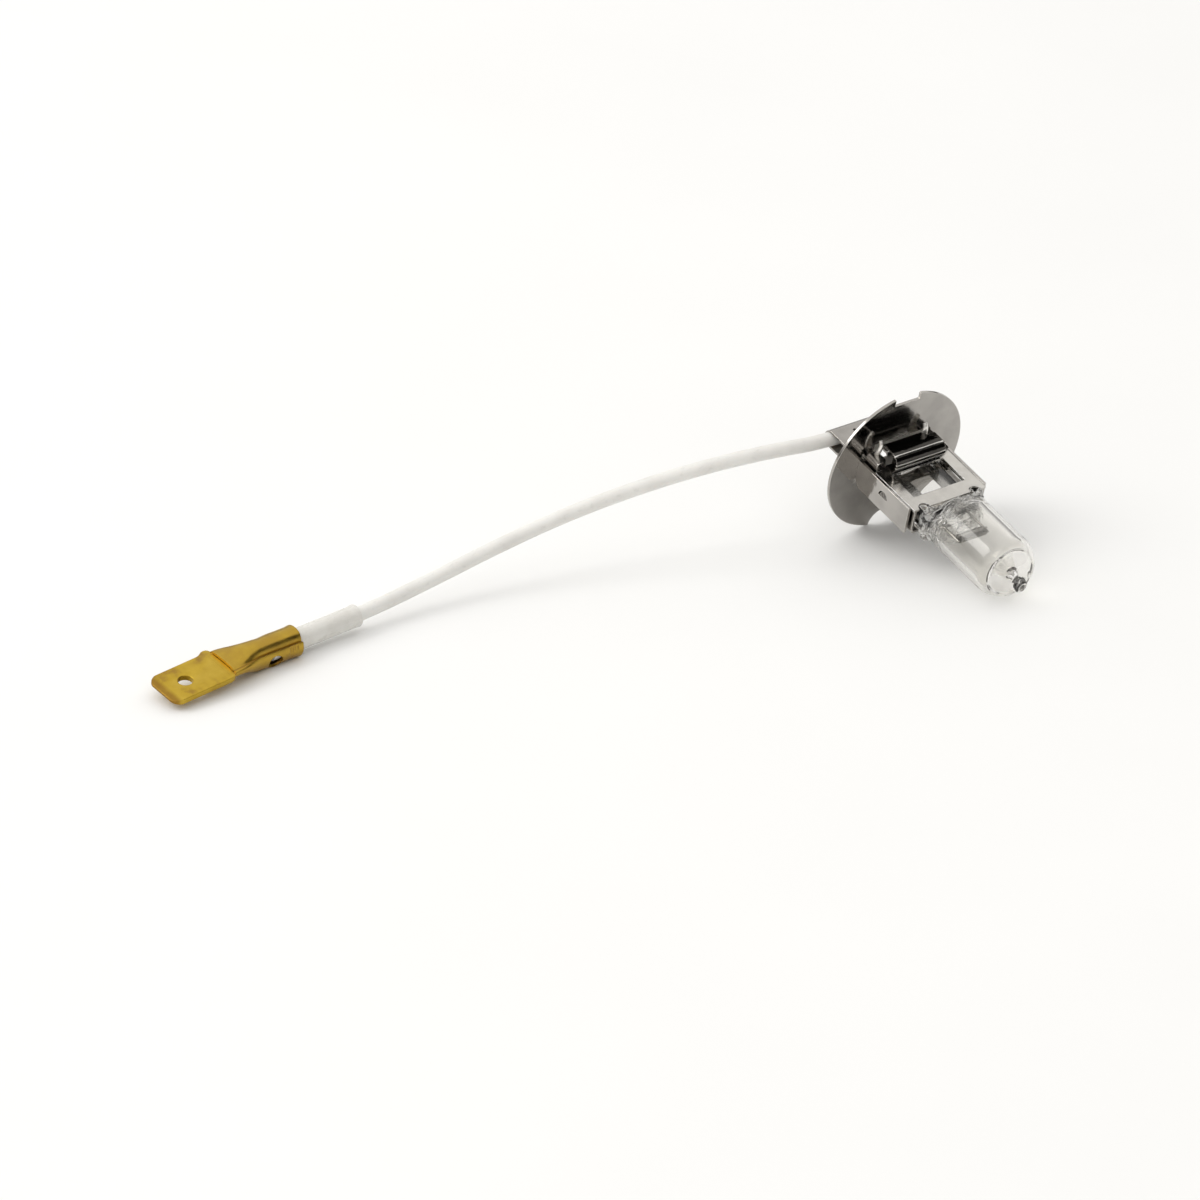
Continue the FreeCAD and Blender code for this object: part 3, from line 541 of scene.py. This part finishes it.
def glass_ring(x):
    """The outside from the flat seal to the round tube, with ripples and creases at the pressed shoulder."""
    f = smooth(12.2, 14.3, x)
    width = SEAL_HALF_WIDTH + (GLASS_R - SEAL_HALF_WIDTH) * f
    height = shoulder_height(x)
    power = SEAL_POWER + (ROUND_POWER - SEAL_POWER) * smooth(12.1, 13.9, x)
    marks = smooth(11.9, 12.4, x) * (1 - smooth(13.8, 15.2, x))
    ring = []
    for y, z in section(width, height, power, 1 - f):
        ripple = 0.05 * math.sin(2 * math.pi * x / 0.52 + 5.0 * noise.noise(Vector((y * 0.35, z * 0.3, 2.0))))
        grow = 1 + (crease(x, y, z, 0.10, 3.1) + ripple) * marks
        ring.append(lamp(x, y * (0.6 + 0.4 * grow), z * grow))
    return ring


def turned_ring(x, radius):
    """A round ring; the drawn-out pip leans a little."""
    lean = smooth(27.6, 28.6, x)
    return [lamp(x, radius * math.cos(2 * math.pi * i / AROUND) - 0.25 * lean,
                 radius * math.sin(2 * math.pi * i / AROUND) - 0.28 * lean) for i in range(AROUND)]


def outer_profile():
    """The dome, the drawn-out neck and the pip, as pairs of distance and radius."""
    profile = []
    last = math.asin(DOME_FLARE / GLASS_R)
    for i in range(1, DOME_STEPS + 1):
        angle = math.pi / 2 + (last - math.pi / 2) * i / DOME_STEPS
        profile.append((DOME_CENTRE + GLASS_R * math.cos(angle), GLASS_R * math.sin(angle)))
    neck = [(27.90, 1.58), (27.97, 1.40), (28.04, 1.24), (28.10, 1.10), (28.16, 1.00), (28.26, 0.95),
            (28.42, 0.96), (28.62, 0.98), (28.78, 0.95), (28.89, 0.86), (28.96, 0.74), (29.00, 0.60),
            (29.01, 0.50), (28.93, 0.42), (28.80, 0.35), (28.75, 0.20), (28.74, 0.03)]
    return profile + neck


def cavity_profile():
    """The bore's end: a rounded ledge, a shallow face and the drawn-in root of the pip."""
    ledge = [(23.8, 3.645), (24.1, 3.60), (24.35, 3.50), (24.6, 3.36), (24.8, 3.18), (24.95, 2.98),
             (25.02, 2.84), (25.02, 2.70), (24.98, 2.62), (24.97, 2.52), (25.03, 2.36)]
    face = [(25.13, 2.0), (25.24, 1.6), (25.35, 1.2), (25.45, 0.92), (25.53, 0.72), (25.63, 0.58)]
    root = [(25.8, 0.48), (26.1, 0.43), (26.6, 0.39), (27.2, 0.34), (27.7, 0.27), (28.0, 0.19), (28.2, 0.10),
            (28.26, 0.02)]
    return ledge + face + root


def stations(start, end, step):
    """Distances from start to end, about one step apart."""
    count = max(1, round((end - start) / step))
    return [start + (end - start) * i / count for i in range(count + 1)]


def cavity_ring(x):
    """The bore, from its flat start above the seal to the round tube."""
    f = smooth(CAVITY_START - 0.2, CAVITY_END, x)
    width = CAVITY_HALF_WIDTH + (BORE - CAVITY_HALF_WIDTH) * f
    height = CAVITY_HALF_HEIGHT + (BORE - CAVITY_HALF_HEIGHT) * f
    power = CAVITY_POWER + (ROUND_POWER - CAVITY_POWER) * f
    marks = 1 - smooth(14.4, 16.2, x)
    ring = []
    for y, z in section(width, height, power, 0.0):
        grow = 1 + crease(x, y, z, 0.20, 9.7) * marks
        ring.append(lamp(x + 0.25 * noise.noise(Vector((y, z * 1.4, 4.2))) * marks, y * grow, z * grow))
    return ring


def build_glass():
    """One mesh of two closed skins: the outside, and the sealed bore inside it."""
    outer = [glass_ring(x) for x in stations(SEAL_REAR, SHOULDER_START - 0.2, 0.5)]
    outer += [glass_ring(x) for x in stations(SHOULDER_START, 15.2, FINE_STEP)]
    outer += [glass_ring(x) for x in stations(15.7, DOME_CENTRE, PLAIN_STEP)]
    outer += [turned_ring(x, radius) for x, radius in outer_profile()]
    inner = [cavity_ring(x) for x in stations(CAVITY_START, 16.2, FINE_STEP)]
    inner += [cavity_ring(x) for x in stations(16.8, 23.4, PLAIN_STEP)]
    inner += [turned_ring(x, radius) for x, radius in cavity_profile()]
    solid = piece_from("glass_envelope_clear", *capped_loft(outer))
    hollow = piece_from("hollow", *capped_loft(inner))
    hollow.data.flip_normals()
    mesh = bmesh.new()
    mesh.from_mesh(solid.data)
    mesh.from_mesh(hollow.data)
    mesh.to_mesh(solid.data)
    mesh.free()
    bpy.data.objects.remove(hollow)
    for face in solid.data.polygons:
        face.use_smooth = len(face.vertices) == 4
    return solid


def glass_kind(face):
    """0 for clear glass, 1 for the thick melted dome and pip, 2 for thin traces of burnt film."""
    place = face.center
    x = (place.dot(LAMP_WAY) - LAMP_ZERO) / MM
    aside = place - (lamp(0, 0, 0) + LAMP_WAY * x * MM)
    radius = aside.length / MM
    patchy = noise.noise(place / MM * 0.45 + Vector((3.3, 1.7, 0.4)))
    ledge_outside = 2.88 < radius < 2.99 and patchy > 0.22
    ledge_inside = 2.52 < radius < 2.66 and patchy < -0.14
    ledge = 24.9 < x < 25.1 and (ledge_outside or ledge_inside)
    root = 25.45 < x < 25.9 and 0.40 < radius < 0.75 and noise.noise(place / MM * 1.6) > -0.05
    neck = 28.0 < x < 28.2 and 1.0 < radius < 1.5 and patchy > 0.20
    rim = 28.8 < x < 28.98 and 0.75 < radius < 1.1 and noise.noise(place / MM * 1.1) > 0.0
    dimple = 28.7 < x < 28.95 and radius < 0.62
    if ledge or root or neck or rim or dimple:
        return 2
    return int(x > 25.1)


glass = build_glass()
assign(glass, glass_look)
glass.data.materials.append(tip_look)
glass.data.materials.append(film_look)
for face in glass.data.polygons:
    face.material_index = glass_kind(face)
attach(glass, "root")
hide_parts("glass_envelope")

# ---- Filament: a wound coil with a leg to each wire ----
FILAMENT_X, COIL_LENGTH, COIL_RADIUS, COIL_WIRE = 17.6, 4.3, 0.54, 0.098
COIL_TURNS, STEPS_PER_TURN = 20, 28
WIRE_SIDE = 2.48


def coil_line():
    points = []
    total = COIL_TURNS * STEPS_PER_TURN
    for i in range(total + 1):
        angle = 2 * math.pi * i / STEPS_PER_TURN + math.pi / 2
        y = -COIL_LENGTH / 2 + COIL_LENGTH * i / total
        points.append(lamp(FILAMENT_X + COIL_RADIUS * math.cos(angle), y, COIL_RADIUS * math.sin(angle)))
    left = lamp(FILAMENT_X + 0.05, -WIRE_SIDE, COIL_RADIUS * 0.9)
    right = lamp(FILAMENT_X + 0.05, WIRE_SIDE, COIL_RADIUS * 0.9)
    return [left] + points + [right]


def sweep(name, line, radius, around=10):
    """Round wire along a line."""
    turns = [2 * math.pi * i / around for i in range(around)]
    rings = [[point + side * radius * math.cos(turn) + up * radius * math.sin(turn) for turn in turns]
             for point, side, up in frames_along(line)]
    return piece_from(name, *capped_loft(rings))


coil = sweep("filament_winding", coil_line(), COIL_WIRE * MM)
assign(coil, tungsten)
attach(coil, "root")
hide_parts("filament_coil")

# ---- Lead, conductor and sleeve ----
assign(lead, lead_cover)
assign(conductor, tinned_copper)
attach(lead, "root")
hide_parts("lead_insulation")
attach(conductor, "root")
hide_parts("lead_conductor")

SLEEVE_OUTER, SLEEVE_INNER = 1.5, 1.04
SLEEVE_AROUND = 48


def last_stretch(line, length):
    """The last part of a line, cut to a length."""
    kept, left = [line[-1]], length
    for before, after in zip(reversed(line[:-1]), reversed(line[1:])):
        step = (after - before).length
        if step >= left:
            kept.append(after + (before - after) * (left / step))
            break
        kept.append(before)
        left -= step
    return list(reversed(kept))


def build_sleeve():
    """Thin tubing over the end of the lead, with a slightly uneven cut and a soft mouth."""
    frames = frames_along(last_stretch(lead_line, (SLEEVE_SHOWN + SLEEVE_HIDDEN) * MM))
    total = len(frames)
    turns = [2 * math.pi * i / SLEEVE_AROUND for i in range(SLEEVE_AROUND)]
    verts = []
    for index, (point, side, up) in enumerate(frames):
        for turn in turns:
            place = Vector((math.cos(turn) * 1.3, math.sin(turn) * 1.3, index * 0.35))
            radius = SLEEVE_OUTER + 0.02 * noise.noise(place) + 0.07 * bell(index / total, 0.0, 0.05)
            verts.append(point + (side * math.cos(turn) + up * math.sin(turn)) * radius * MM)
    for point, side, up in reversed(frames):
        verts += [point + (side * math.cos(turn) + up * math.sin(turn)) * SLEEVE_INNER * MM for turn in turns]
    faces = loft_faces(2 * total, SLEEVE_AROUND)
    last = len(verts) - SLEEVE_AROUND
    for j in range(SLEEVE_AROUND):
        k = (j + 1) % SLEEVE_AROUND
        faces.append((last + j, last + k, k, j))
    sleeve = piece_from("end_sleeve_tubing", verts, faces)
    bevel = sleeve.modifiers.new("mouth", "BEVEL")
    bevel.width = 0.08 * MM
    bevel.segments = 2
    bevel.limit_method = "ANGLE"
    return sleeve


sleeve = build_sleeve()
assign(sleeve, sleeve_tubing)
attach(sleeve, "root")
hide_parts("end_sleeve")

# ---- Blade terminal: a crimped barrel rolled from sheet, and a flat blade ----
BLADE_ROLL = math.radians(-8.8)
BARREL_R, BARREL_SHEET, BARREL_REAR, BARREL_LENGTH = 2.0, 0.36, 0.4, 11.9
SEAM_ANGLE, SEAM_LAP = math.radians(4), 0.42
BLADE_TIP, BLADE_HALF, BLADE_TOP, BLADE_SHEET = 21.9, 3.15, 0.05, 0.8
HOLE_X, HOLE_R, BLADE_PITCH = 18.1, 1.0, 0.068
BLADE_EDGE, TIP_CORNER = 0.10, 1.35
CRIMP_MARKS = (1.15, 1.55, 1.95, 2.35)
NOTCH_X, NOTCH_ANGLE, NOTCH_HALF_LENGTH, NOTCH_HALF_WIDTH = 4.7, math.radians(-18), 1.12, 0.98
NECK_START, NECK_LENGTH, NECK_STEPS, NECK_R = 9.4, 3.3, 14, 1.62
terminal_side = Vector((-crimp_way.y, crimp_way.x, 0))
terminal_y = terminal_side * math.cos(BLADE_ROLL) + Vector((0, 0, math.sin(BLADE_ROLL)))
terminal_z = Vector((0, 0, math.cos(BLADE_ROLL))) - terminal_side * math.sin(BLADE_ROLL)


def terminal(x, y, z):
    """A point of the terminal's own frame in millimetres: x along it, y to its near side."""
    return crimp_rear + (crimp_way * x + terminal_y * y + terminal_z * z) * MM


def blade_top(x):
    """Height of the blade's top face, which drops a little towards the tip."""
    return BLADE_TOP + BLADE_PITCH * (BLADE_TIP - x)


def barrel_radius(x, angle):
    """Outer radius of the rolled sheet: a flared mouth, a waist at the notch and crimp marks."""
    radius = BARREL_R + 0.10 + 0.08 * bell(x, BARREL_REAR, 0.5) - 0.06 * bell(x, 5.6, 0.9)
    radius -= 0.16 * smooth(8.2, 11.6, x)
    low = bell(math.remainder(angle + math.radians(60), 2 * math.pi), 0, 0.6)
    radius += 0.16 * low * bell(x, NOTCH_X, 0.9)
    near = bell(math.remainder(angle - math.radians(14), 2 * math.pi), 0, 0.30)
    for mark in CRIMP_MARKS:
        radius -= 0.13 * near * bell(x, mark, 0.11)
    dent = bell(math.remainder(angle - math.radians(88), 2 * math.pi), 0, 0.55)
    radius -= 0.10 * dent * bell(x, 7.6, 1.6)
    radius += 0.02 * noise.noise(Vector((x * 0.6, math.cos(angle) * 1.2, math.sin(angle) * 1.2)))
    return radius


def open_notch(x, angle):
    """The small gap between the two crimps, on the near side."""
    aside = math.remainder(angle - NOTCH_ANGLE, 2 * math.pi) * BARREL_R
    return ((x - NOTCH_X) / NOTCH_HALF_LENGTH) ** 2 + (aside / NOTCH_HALF_WIDTH) ** 2 < 1


def barrel_sheet():
    """The rolled sheet: round over the sleeve, then closing flat on the blade, with its notch left open."""
    stations_along, steps = 96, 170
    total = 2 * math.pi + SEAM_LAP
    outer, inner, cells = [], [], set()
    for i in range(stations_along + 1):
        x = BARREL_REAR + (BARREL_LENGTH - BARREL_REAR) * i / stations_along
        for j in range(steps + 1):
            turn = total * j / steps
            angle = SEAM_ANGLE + turn
            lap = BARREL_SHEET * (1 - smooth(SEAM_LAP * 0.9, SEAM_LAP + 0.7, turn))
            radius = barrel_radius(x, angle) - lap
            end = x + 0.12 * smooth(10.5, BARREL_LENGTH, x) * (1 - math.sin(angle))
            flat = smooth(6.6, BARREL_LENGTH, x)
            wide = 1 + 0.46 * flat
            level = math.copysign(abs(math.sin(angle)) ** 0.5, math.sin(angle))
            high, low = (0.42, 0.06) if level > 0 else (1.0, 0.60)
            for skin, reach, closed in ((outer, radius, high), (inner, radius - BARREL_SHEET, low)):
                height = reach * math.sin(angle) * (1 - flat) + (blade_top(x) + closed * level) * flat
                skin.append(terminal(end, reach * math.cos(angle) * wide, height))
            if i < stations_along and j < steps:
                middle = SEAM_ANGLE + total * (j + 0.5) / steps
                if not open_notch(x, middle):
                    cells.add((i, j))
    size = steps + 1
    shift = len(outer)
    faces = []
    for i, j in sorted(cells):
        a, b, c, d = i * size + j, i * size + j + 1, (i + 1) * size + j + 1, (i + 1) * size + j
        faces.append((a, b, c, d))
        faces.append((d + shift, c + shift, b + shift, a + shift))
        sides = (((i - 1, j), a, b), ((i, j + 1), b, c), ((i + 1, j), c, d), ((i, j - 1), d, a))
        for neighbour, p, q in sides:
            if neighbour not in cells:
                faces.append((q, p, p + shift, q + shift))
    return outer + inner, faces


def blade_outline():
    """The blade's outline, with a small lug on its far side and rounded corners at its tip."""
    points = [(11.6, -2.0), (11.8, -2.9), (12.0, -3.35), (12.25, -3.6), (12.6, -3.68), (13.0, -3.62),
              (13.35, -3.40), (13.7, -3.22), (14.1, -BLADE_HALF)]
    for side in (-1, 1):
        for step in range(9):
            part = step / 8 if side < 0 else 1 - step / 8
            angle = math.radians(90 * part)
            points.append((BLADE_TIP - TIP_CORNER * (1 - math.sin(angle)),
                           side * (BLADE_HALF - TIP_CORNER * (1 - math.cos(angle)))))
    points += [(12.9, BLADE_HALF), (12.4, 3.05), (12.0, 2.8), (11.6, 2.0)]
    return points


def blade_plate():
    """The blade with its hole and rounded edges, thinned towards its tip."""
    data = bpy.data.curves.new("blade", "CURVE")
    data.dimensions = "2D"
    data.fill_mode = "BOTH"
    hole = [(HOLE_X + HOLE_R * math.cos(2 * math.pi * i / 40), HOLE_R * math.sin(2 * math.pi * i / 40))
            for i in range(40)]
    for loop in (blade_outline(), hole):
        spline = data.splines.new("POLY")
        spline.points.add(len(loop) - 1)
        for point, (x, y) in zip(spline.points, loop):
            point.co = (x, y, 0, 1)
        spline.use_cyclic_u = True
    data.extrude = BLADE_SHEET / 2 - BLADE_EDGE
    data.bevel_depth = BLADE_EDGE
    data.bevel_resolution = 3
    data.offset = -BLADE_EDGE
    guide = bpy.data.objects.new("blade", data)
    bpy.context.collection.objects.link(guide)
    bpy.context.view_layer.update()
    mesh = bpy.data.meshes.new_from_object(guide.evaluated_get(bpy.context.evaluated_depsgraph_get()))
    bpy.data.objects.remove(guide)
    plate = bmesh.new()
    plate.from_mesh(mesh)
    bmesh.ops.remove_doubles(plate, verts=plate.verts, dist=1e-4)
    for cut in (BLADE_TIP - 1.15, BLADE_TIP - 0.75, BLADE_TIP - 0.4):
        geometry = plate.verts[:] + plate.edges[:] + plate.faces[:]
        bmesh.ops.bisect_plane(plate, geom=geometry, plane_co=(cut, 0, 0), plane_no=(1, 0, 0))
    for vertex in plate.verts:
        thin = 1 - 0.62 * smooth(BLADE_TIP - 1.25, BLADE_TIP + 0.3, vertex.co.x)
        x, y, z = vertex.co.x, vertex.co.y, vertex.co.z * thin
        vertex.co = terminal(x, y, blade_top(x) - BLADE_SHEET / 2 + z)
    plate.to_mesh(mesh)
    plate.free()
    return mesh


def neck_sheet():
    """The floor of the barrel, opening out into the blade."""
    around = 24
    rings = []
    for i in range(NECK_STEPS + 1):
        x = NECK_START + NECK_LENGTH * i / NECK_STEPS
        flat = smooth(9.8, 11.6, x)
        ring = []
        for face in (1, -1):
            radius = NECK_R - (face + 1) / 2 * 0.3
            height = blade_top(x) - 0.01 - (BLADE_SHEET - 0.02) * (1 - face) / 2
            for j in range(around + 1):
                t = (2 * j / around - 1) * face
                phi = t * math.radians(80)
                curve = (radius * math.sin(phi), -radius * math.cos(phi))
                plate = (t * (1.55 + 0.75 * flat), height)
                ring.append(terminal(x, curve[0] + (plate[0] - curve[0]) * flat,
                                     curve[1] + (plate[1] - curve[1]) * flat))
        rings.append(ring)
    return capped_loft(rings)


def build_terminal():
    piece = piece_from("blade_terminal_brass", *barrel_sheet())
    neck = piece_from("neck", *neck_sheet())
    mesh = bmesh.new()
    mesh.from_mesh(piece.data)
    mesh.from_mesh(neck.data)
    mesh.from_mesh(blade_plate())
    loose = [vertex for vertex in mesh.verts if not vertex.link_faces]
    bmesh.ops.delete(mesh, geom=loose, context="VERTS")
    mesh.to_mesh(piece.data)
    mesh.free()
    bpy.data.objects.remove(neck)
    for face in piece.data.polygons:
        face.use_smooth = True
    piece.data.set_sharp_from_angle(angle=math.radians(32))
    return piece


terminal_piece = build_terminal()
assign(terminal_piece, brass)
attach(terminal_piece, "root")
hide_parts("blade_terminal")

# ---- Spring clip: a C of sheet with two beads along its front ----
CLIP_LINE = [(1.2, 4.62), (1.6, 4.64), (2.1, 4.68), (2.9, 4.76), (3.7, 4.72), (4.3, 4.42), (4.62, 3.90),
             (4.68, 3.25), (4.45, 2.62), (3.95, 2.26), (3.3, 2.21), (2.72, 2.22)]
CLIP_SHEET, CLIP_LEFT, CLIP_RIGHT = 0.26, -4.1, 4.2
CLIP_BEADS, BEAD_SPREAD = ((2.75, 0.05), (4.0, 0.06), (4.5, 0.06)), 0.085


def smooth_line(points, per_run):
    """Points along a soft line through the given ones."""
    result = []
    for index in range(len(points) - 1):
        p0, p1 = Vector(points[max(index - 1, 0)]), Vector(points[index])
        p2, p3 = Vector(points[index + 1]), Vector(points[min(index + 2, len(points) - 1)])
        for step in range(per_run):
            t = step / per_run
            result.append(0.5 * (2 * p1 + (p2 - p0) * t + (2 * p0 - 5 * p1 + 4 * p2 - p3) * t ** 2
                                 + (3 * p1 - p0 - 3 * p2 + p3) * t ** 3))
    result.append(Vector(points[-1]))
    return result


def sheet_band(name, line, widths, thickness, beads=(), across=24, crown=0.0):
    """Sheet along a line of the lamp's x and z. widths(part) gives its two ends across, for part 0 to 1."""
    travelled = [0.0]
    for a, b in zip(line, line[1:]):
        travelled.append(travelled[-1] + (b - a).length)
    rings = []
    for index, point in enumerate(line):
        way = line[min(index + 1, len(line) - 1)] - line[max(index - 1, 0)]
        normal = Vector((way.y, -way.x)).normalized() * -1
        left, right = widths(travelled[index] / travelled[-1])
        raised = sum(height * bell(travelled[index], place, BEAD_SPREAD) for place, height in beads)
        ring = []
        for face in (1, -1):
            for j in range(across + 1):
                t = j / across if face > 0 else 1 - j / across
                inside = smooth(0.0, 0.10, t) * (1 - smooth(0.90, 1.0, t))
                lift = raised * inside + crown * (1 - (2 * t - 1) ** 2)
                spot = point + normal * (face * thickness / 2 + lift)
                ring.append(lamp(spot.x, left + (right - left) * t, spot.y))
        rings.append(ring)
    piece = piece_from(name, *capped_loft(rings))
    # Faces on the beads take the second material, whose bright nickel paints highlights along the beads.
    for index, face in enumerate(piece.data.polygons):
        middle = travelled[min(index // len(rings[0]), len(line) - 1)]
        face.material_index = int(any(abs(middle - place) < BEAD_SPREAD for place, height in beads))
    piece.data.set_sharp_from_angle(angle=math.radians(35))
    return piece


def clip_widths(part):
    """The clip's two ends, cut back in a curve towards its back edge."""
    cut = (1 - smooth(0.0, 0.40, part)) * 1.5
    return CLIP_LEFT + 0.2 * cut, CLIP_RIGHT - cut


clip = sheet_band("pinch_clip_spring", smooth_line(CLIP_LINE, 16), clip_widths, CLIP_SHEET, CLIP_BEADS)
# The flats take the dark nickel as painted shade; the bead faces take the bright prong nickel as painted
# highlights.
for material in (spring_nickel_painted_shade, prong_nickel_painted_highlight):
    clip.data.materials.append(material)
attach(clip, "root")
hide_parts("pinch_clip")

# ---- Stop plate with its two horn-shaped prongs ----
STOP_HALF, STOP_HEIGHT, STOP_SHEET, STOP_STEPS = 4.8, 1.2, 0.3, 6
PRONG_LINE = [(0.15, 0.9), (0.22, 1.6), (0.50, 2.4), (0.85, 3.2), (1.12, 4.0), (1.20, 4.8), (1.10, 5.4),
              (0.80, 5.9)]
PRONG_SHEET, PRONG_CROWN = 0.26, -0.25
PRONGS = {"left": (-4.5, 0.45, -0.6), "right": (2.95, 0.74, 0.0)}


def prong_widths(place, half):
    """The two edges of a prong about its middle place, drawn in and leaned over towards its tip."""
    def widths(part):
        reach = half * (1 - 0.55 * smooth(0.5, 1.0, part))
        middle = place + 0.25 * smooth(0.5, 1.0, part)
        return middle - reach, middle + reach
    return widths


def plate_widths(part):
    return -STOP_HALF, STOP_HALF


stop_levels = [-STOP_HEIGHT + 2 * STOP_HEIGHT * i / STOP_STEPS for i in range(STOP_STEPS + 1)]
stop_line = [Vector((STOP_SHEET / 2, level)) for level in stop_levels]
stop = sheet_band("seal_stop_plate", stop_line, plate_widths, STOP_SHEET)
assign(stop, body_nickel)
prongs = []
for word, (place, half, lower) in PRONGS.items():
    line = smooth_line([(x, z + lower * smooth(2.0, 6.0, z)) for x, z in PRONG_LINE], 6)
    prong = sheet_band("seal_prong_" + word, line, prong_widths(place, half), PRONG_SHEET, across=14,
                       crown=PRONG_CROWN)
    assign(prong, prong_nickel_painted_highlight)
    prongs.append(prong)
for piece in [stop] + prongs:
    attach(piece, "root")
    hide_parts("seal_stop")

# ---- Stage ----
FLOOR_HALF = 3.0
HORIZON, TENT, CARD = (0.18, 0.176, 0.168), (1.0, 0.99, 0.97), (0.02, 0.02, 0.02)
CARD_WAY, CARD_SPREAD, CARD_SOFT = (0.80, 0.52, 0.25), 27, 6
TENT_STRENGTH = 1.05
SOFTBOX_PLACE, SOFTBOX_SIZE, SOFTBOX_POWER = (-0.42, -0.60, 0.60), 0.5, 2.4
SOFTBOX_TARGET = (0.0, -0.03, 0.0)


def add_floor():
    mesh = bpy.data.meshes.new("floor")
    corners = [(-1, -1), (1, -1), (1, 1), (-1, 1)]
    mesh.from_pydata([(x * FLOOR_HALF, y * FLOOR_HALF, 0) for x, y in corners], [], [(0, 1, 2, 3)])
    floor = bpy.data.objects.new("floor", mesh)
    bpy.context.collection.objects.link(floor)
    look = Look("floor_paper", (0.9, 0.9, 0.895), 0.9)
    look.color(look.ramp(look.noise(60.0, 2.0), [(0.3, (0.90, 0.90, 0.895)), (0.7, (0.915, 0.915, 0.91))]))
    assign(floor, look.material)


def add_softbox():
    data = bpy.data.lights.new("left_softbox", "AREA")
    data.energy, data.color = SOFTBOX_POWER, TENT
    data.size = SOFTBOX_SIZE
    light = bpy.data.objects.new("left_softbox", data)
    way = Vector(SOFTBOX_PLACE) - Vector(SOFTBOX_TARGET)
    light.matrix_world = Matrix.Translation(SOFTBOX_PLACE) @ way.to_track_quat("Z", "Y").to_matrix().to_4x4()
    bpy.context.collection.objects.link(light)


def studio_world():
    """A bright soft tent over a dim horizon, with a dark card at the lamp's far right."""
    world = bpy.data.worlds.new("studio")
    world.use_nodes = True
    tree = world.node_tree
    place = tree.nodes.new("ShaderNodeTexCoord").outputs["Generated"]
    split = tree.nodes.new("ShaderNodeSeparateXYZ")
    tree.links.new(place, split.inputs["Vector"])
    tent = tree.nodes.new("ShaderNodeValToRGB")
    tree.links.new(split.outputs["Z"], tent.inputs["Fac"])
    stops = tent.color_ramp.elements
    stops[0].position, stops[0].color = 0.10, (*HORIZON, 1)
    stops[1].position, stops[1].color = 0.36, (*TENT, 1)
    toward = tree.nodes.new("ShaderNodeVectorMath")
    toward.operation = "DOT_PRODUCT"
    toward.inputs[1].default_value = Vector(CARD_WAY).normalized()
    tree.links.new(place, toward.inputs[0])
    card = tree.nodes.new("ShaderNodeMapRange")
    tree.links.new(toward.outputs["Value"], card.inputs["Value"])
    card.inputs["From Min"].default_value = math.cos(math.radians(CARD_SPREAD + CARD_SOFT))
    card.inputs["From Max"].default_value = math.cos(math.radians(CARD_SPREAD))
    mix = tree.nodes.new("ShaderNodeMix")
    mix.data_type = "RGBA"
    tree.links.new(card.outputs["Result"], mix.inputs[0])
    tree.links.new(tent.outputs["Color"], mix.inputs[6])
    mix.inputs[7].default_value = (*CARD, 1)
    background = tree.nodes["Background"]
    tree.links.new(mix.outputs[2], background.inputs["Color"])
    background.inputs["Strength"].default_value = TENT_STRENGTH
    bpy.context.scene.world = world


add_floor()
studio_world()
add_softbox()
bpy.context.scene.view_settings.view_transform = "Standard"
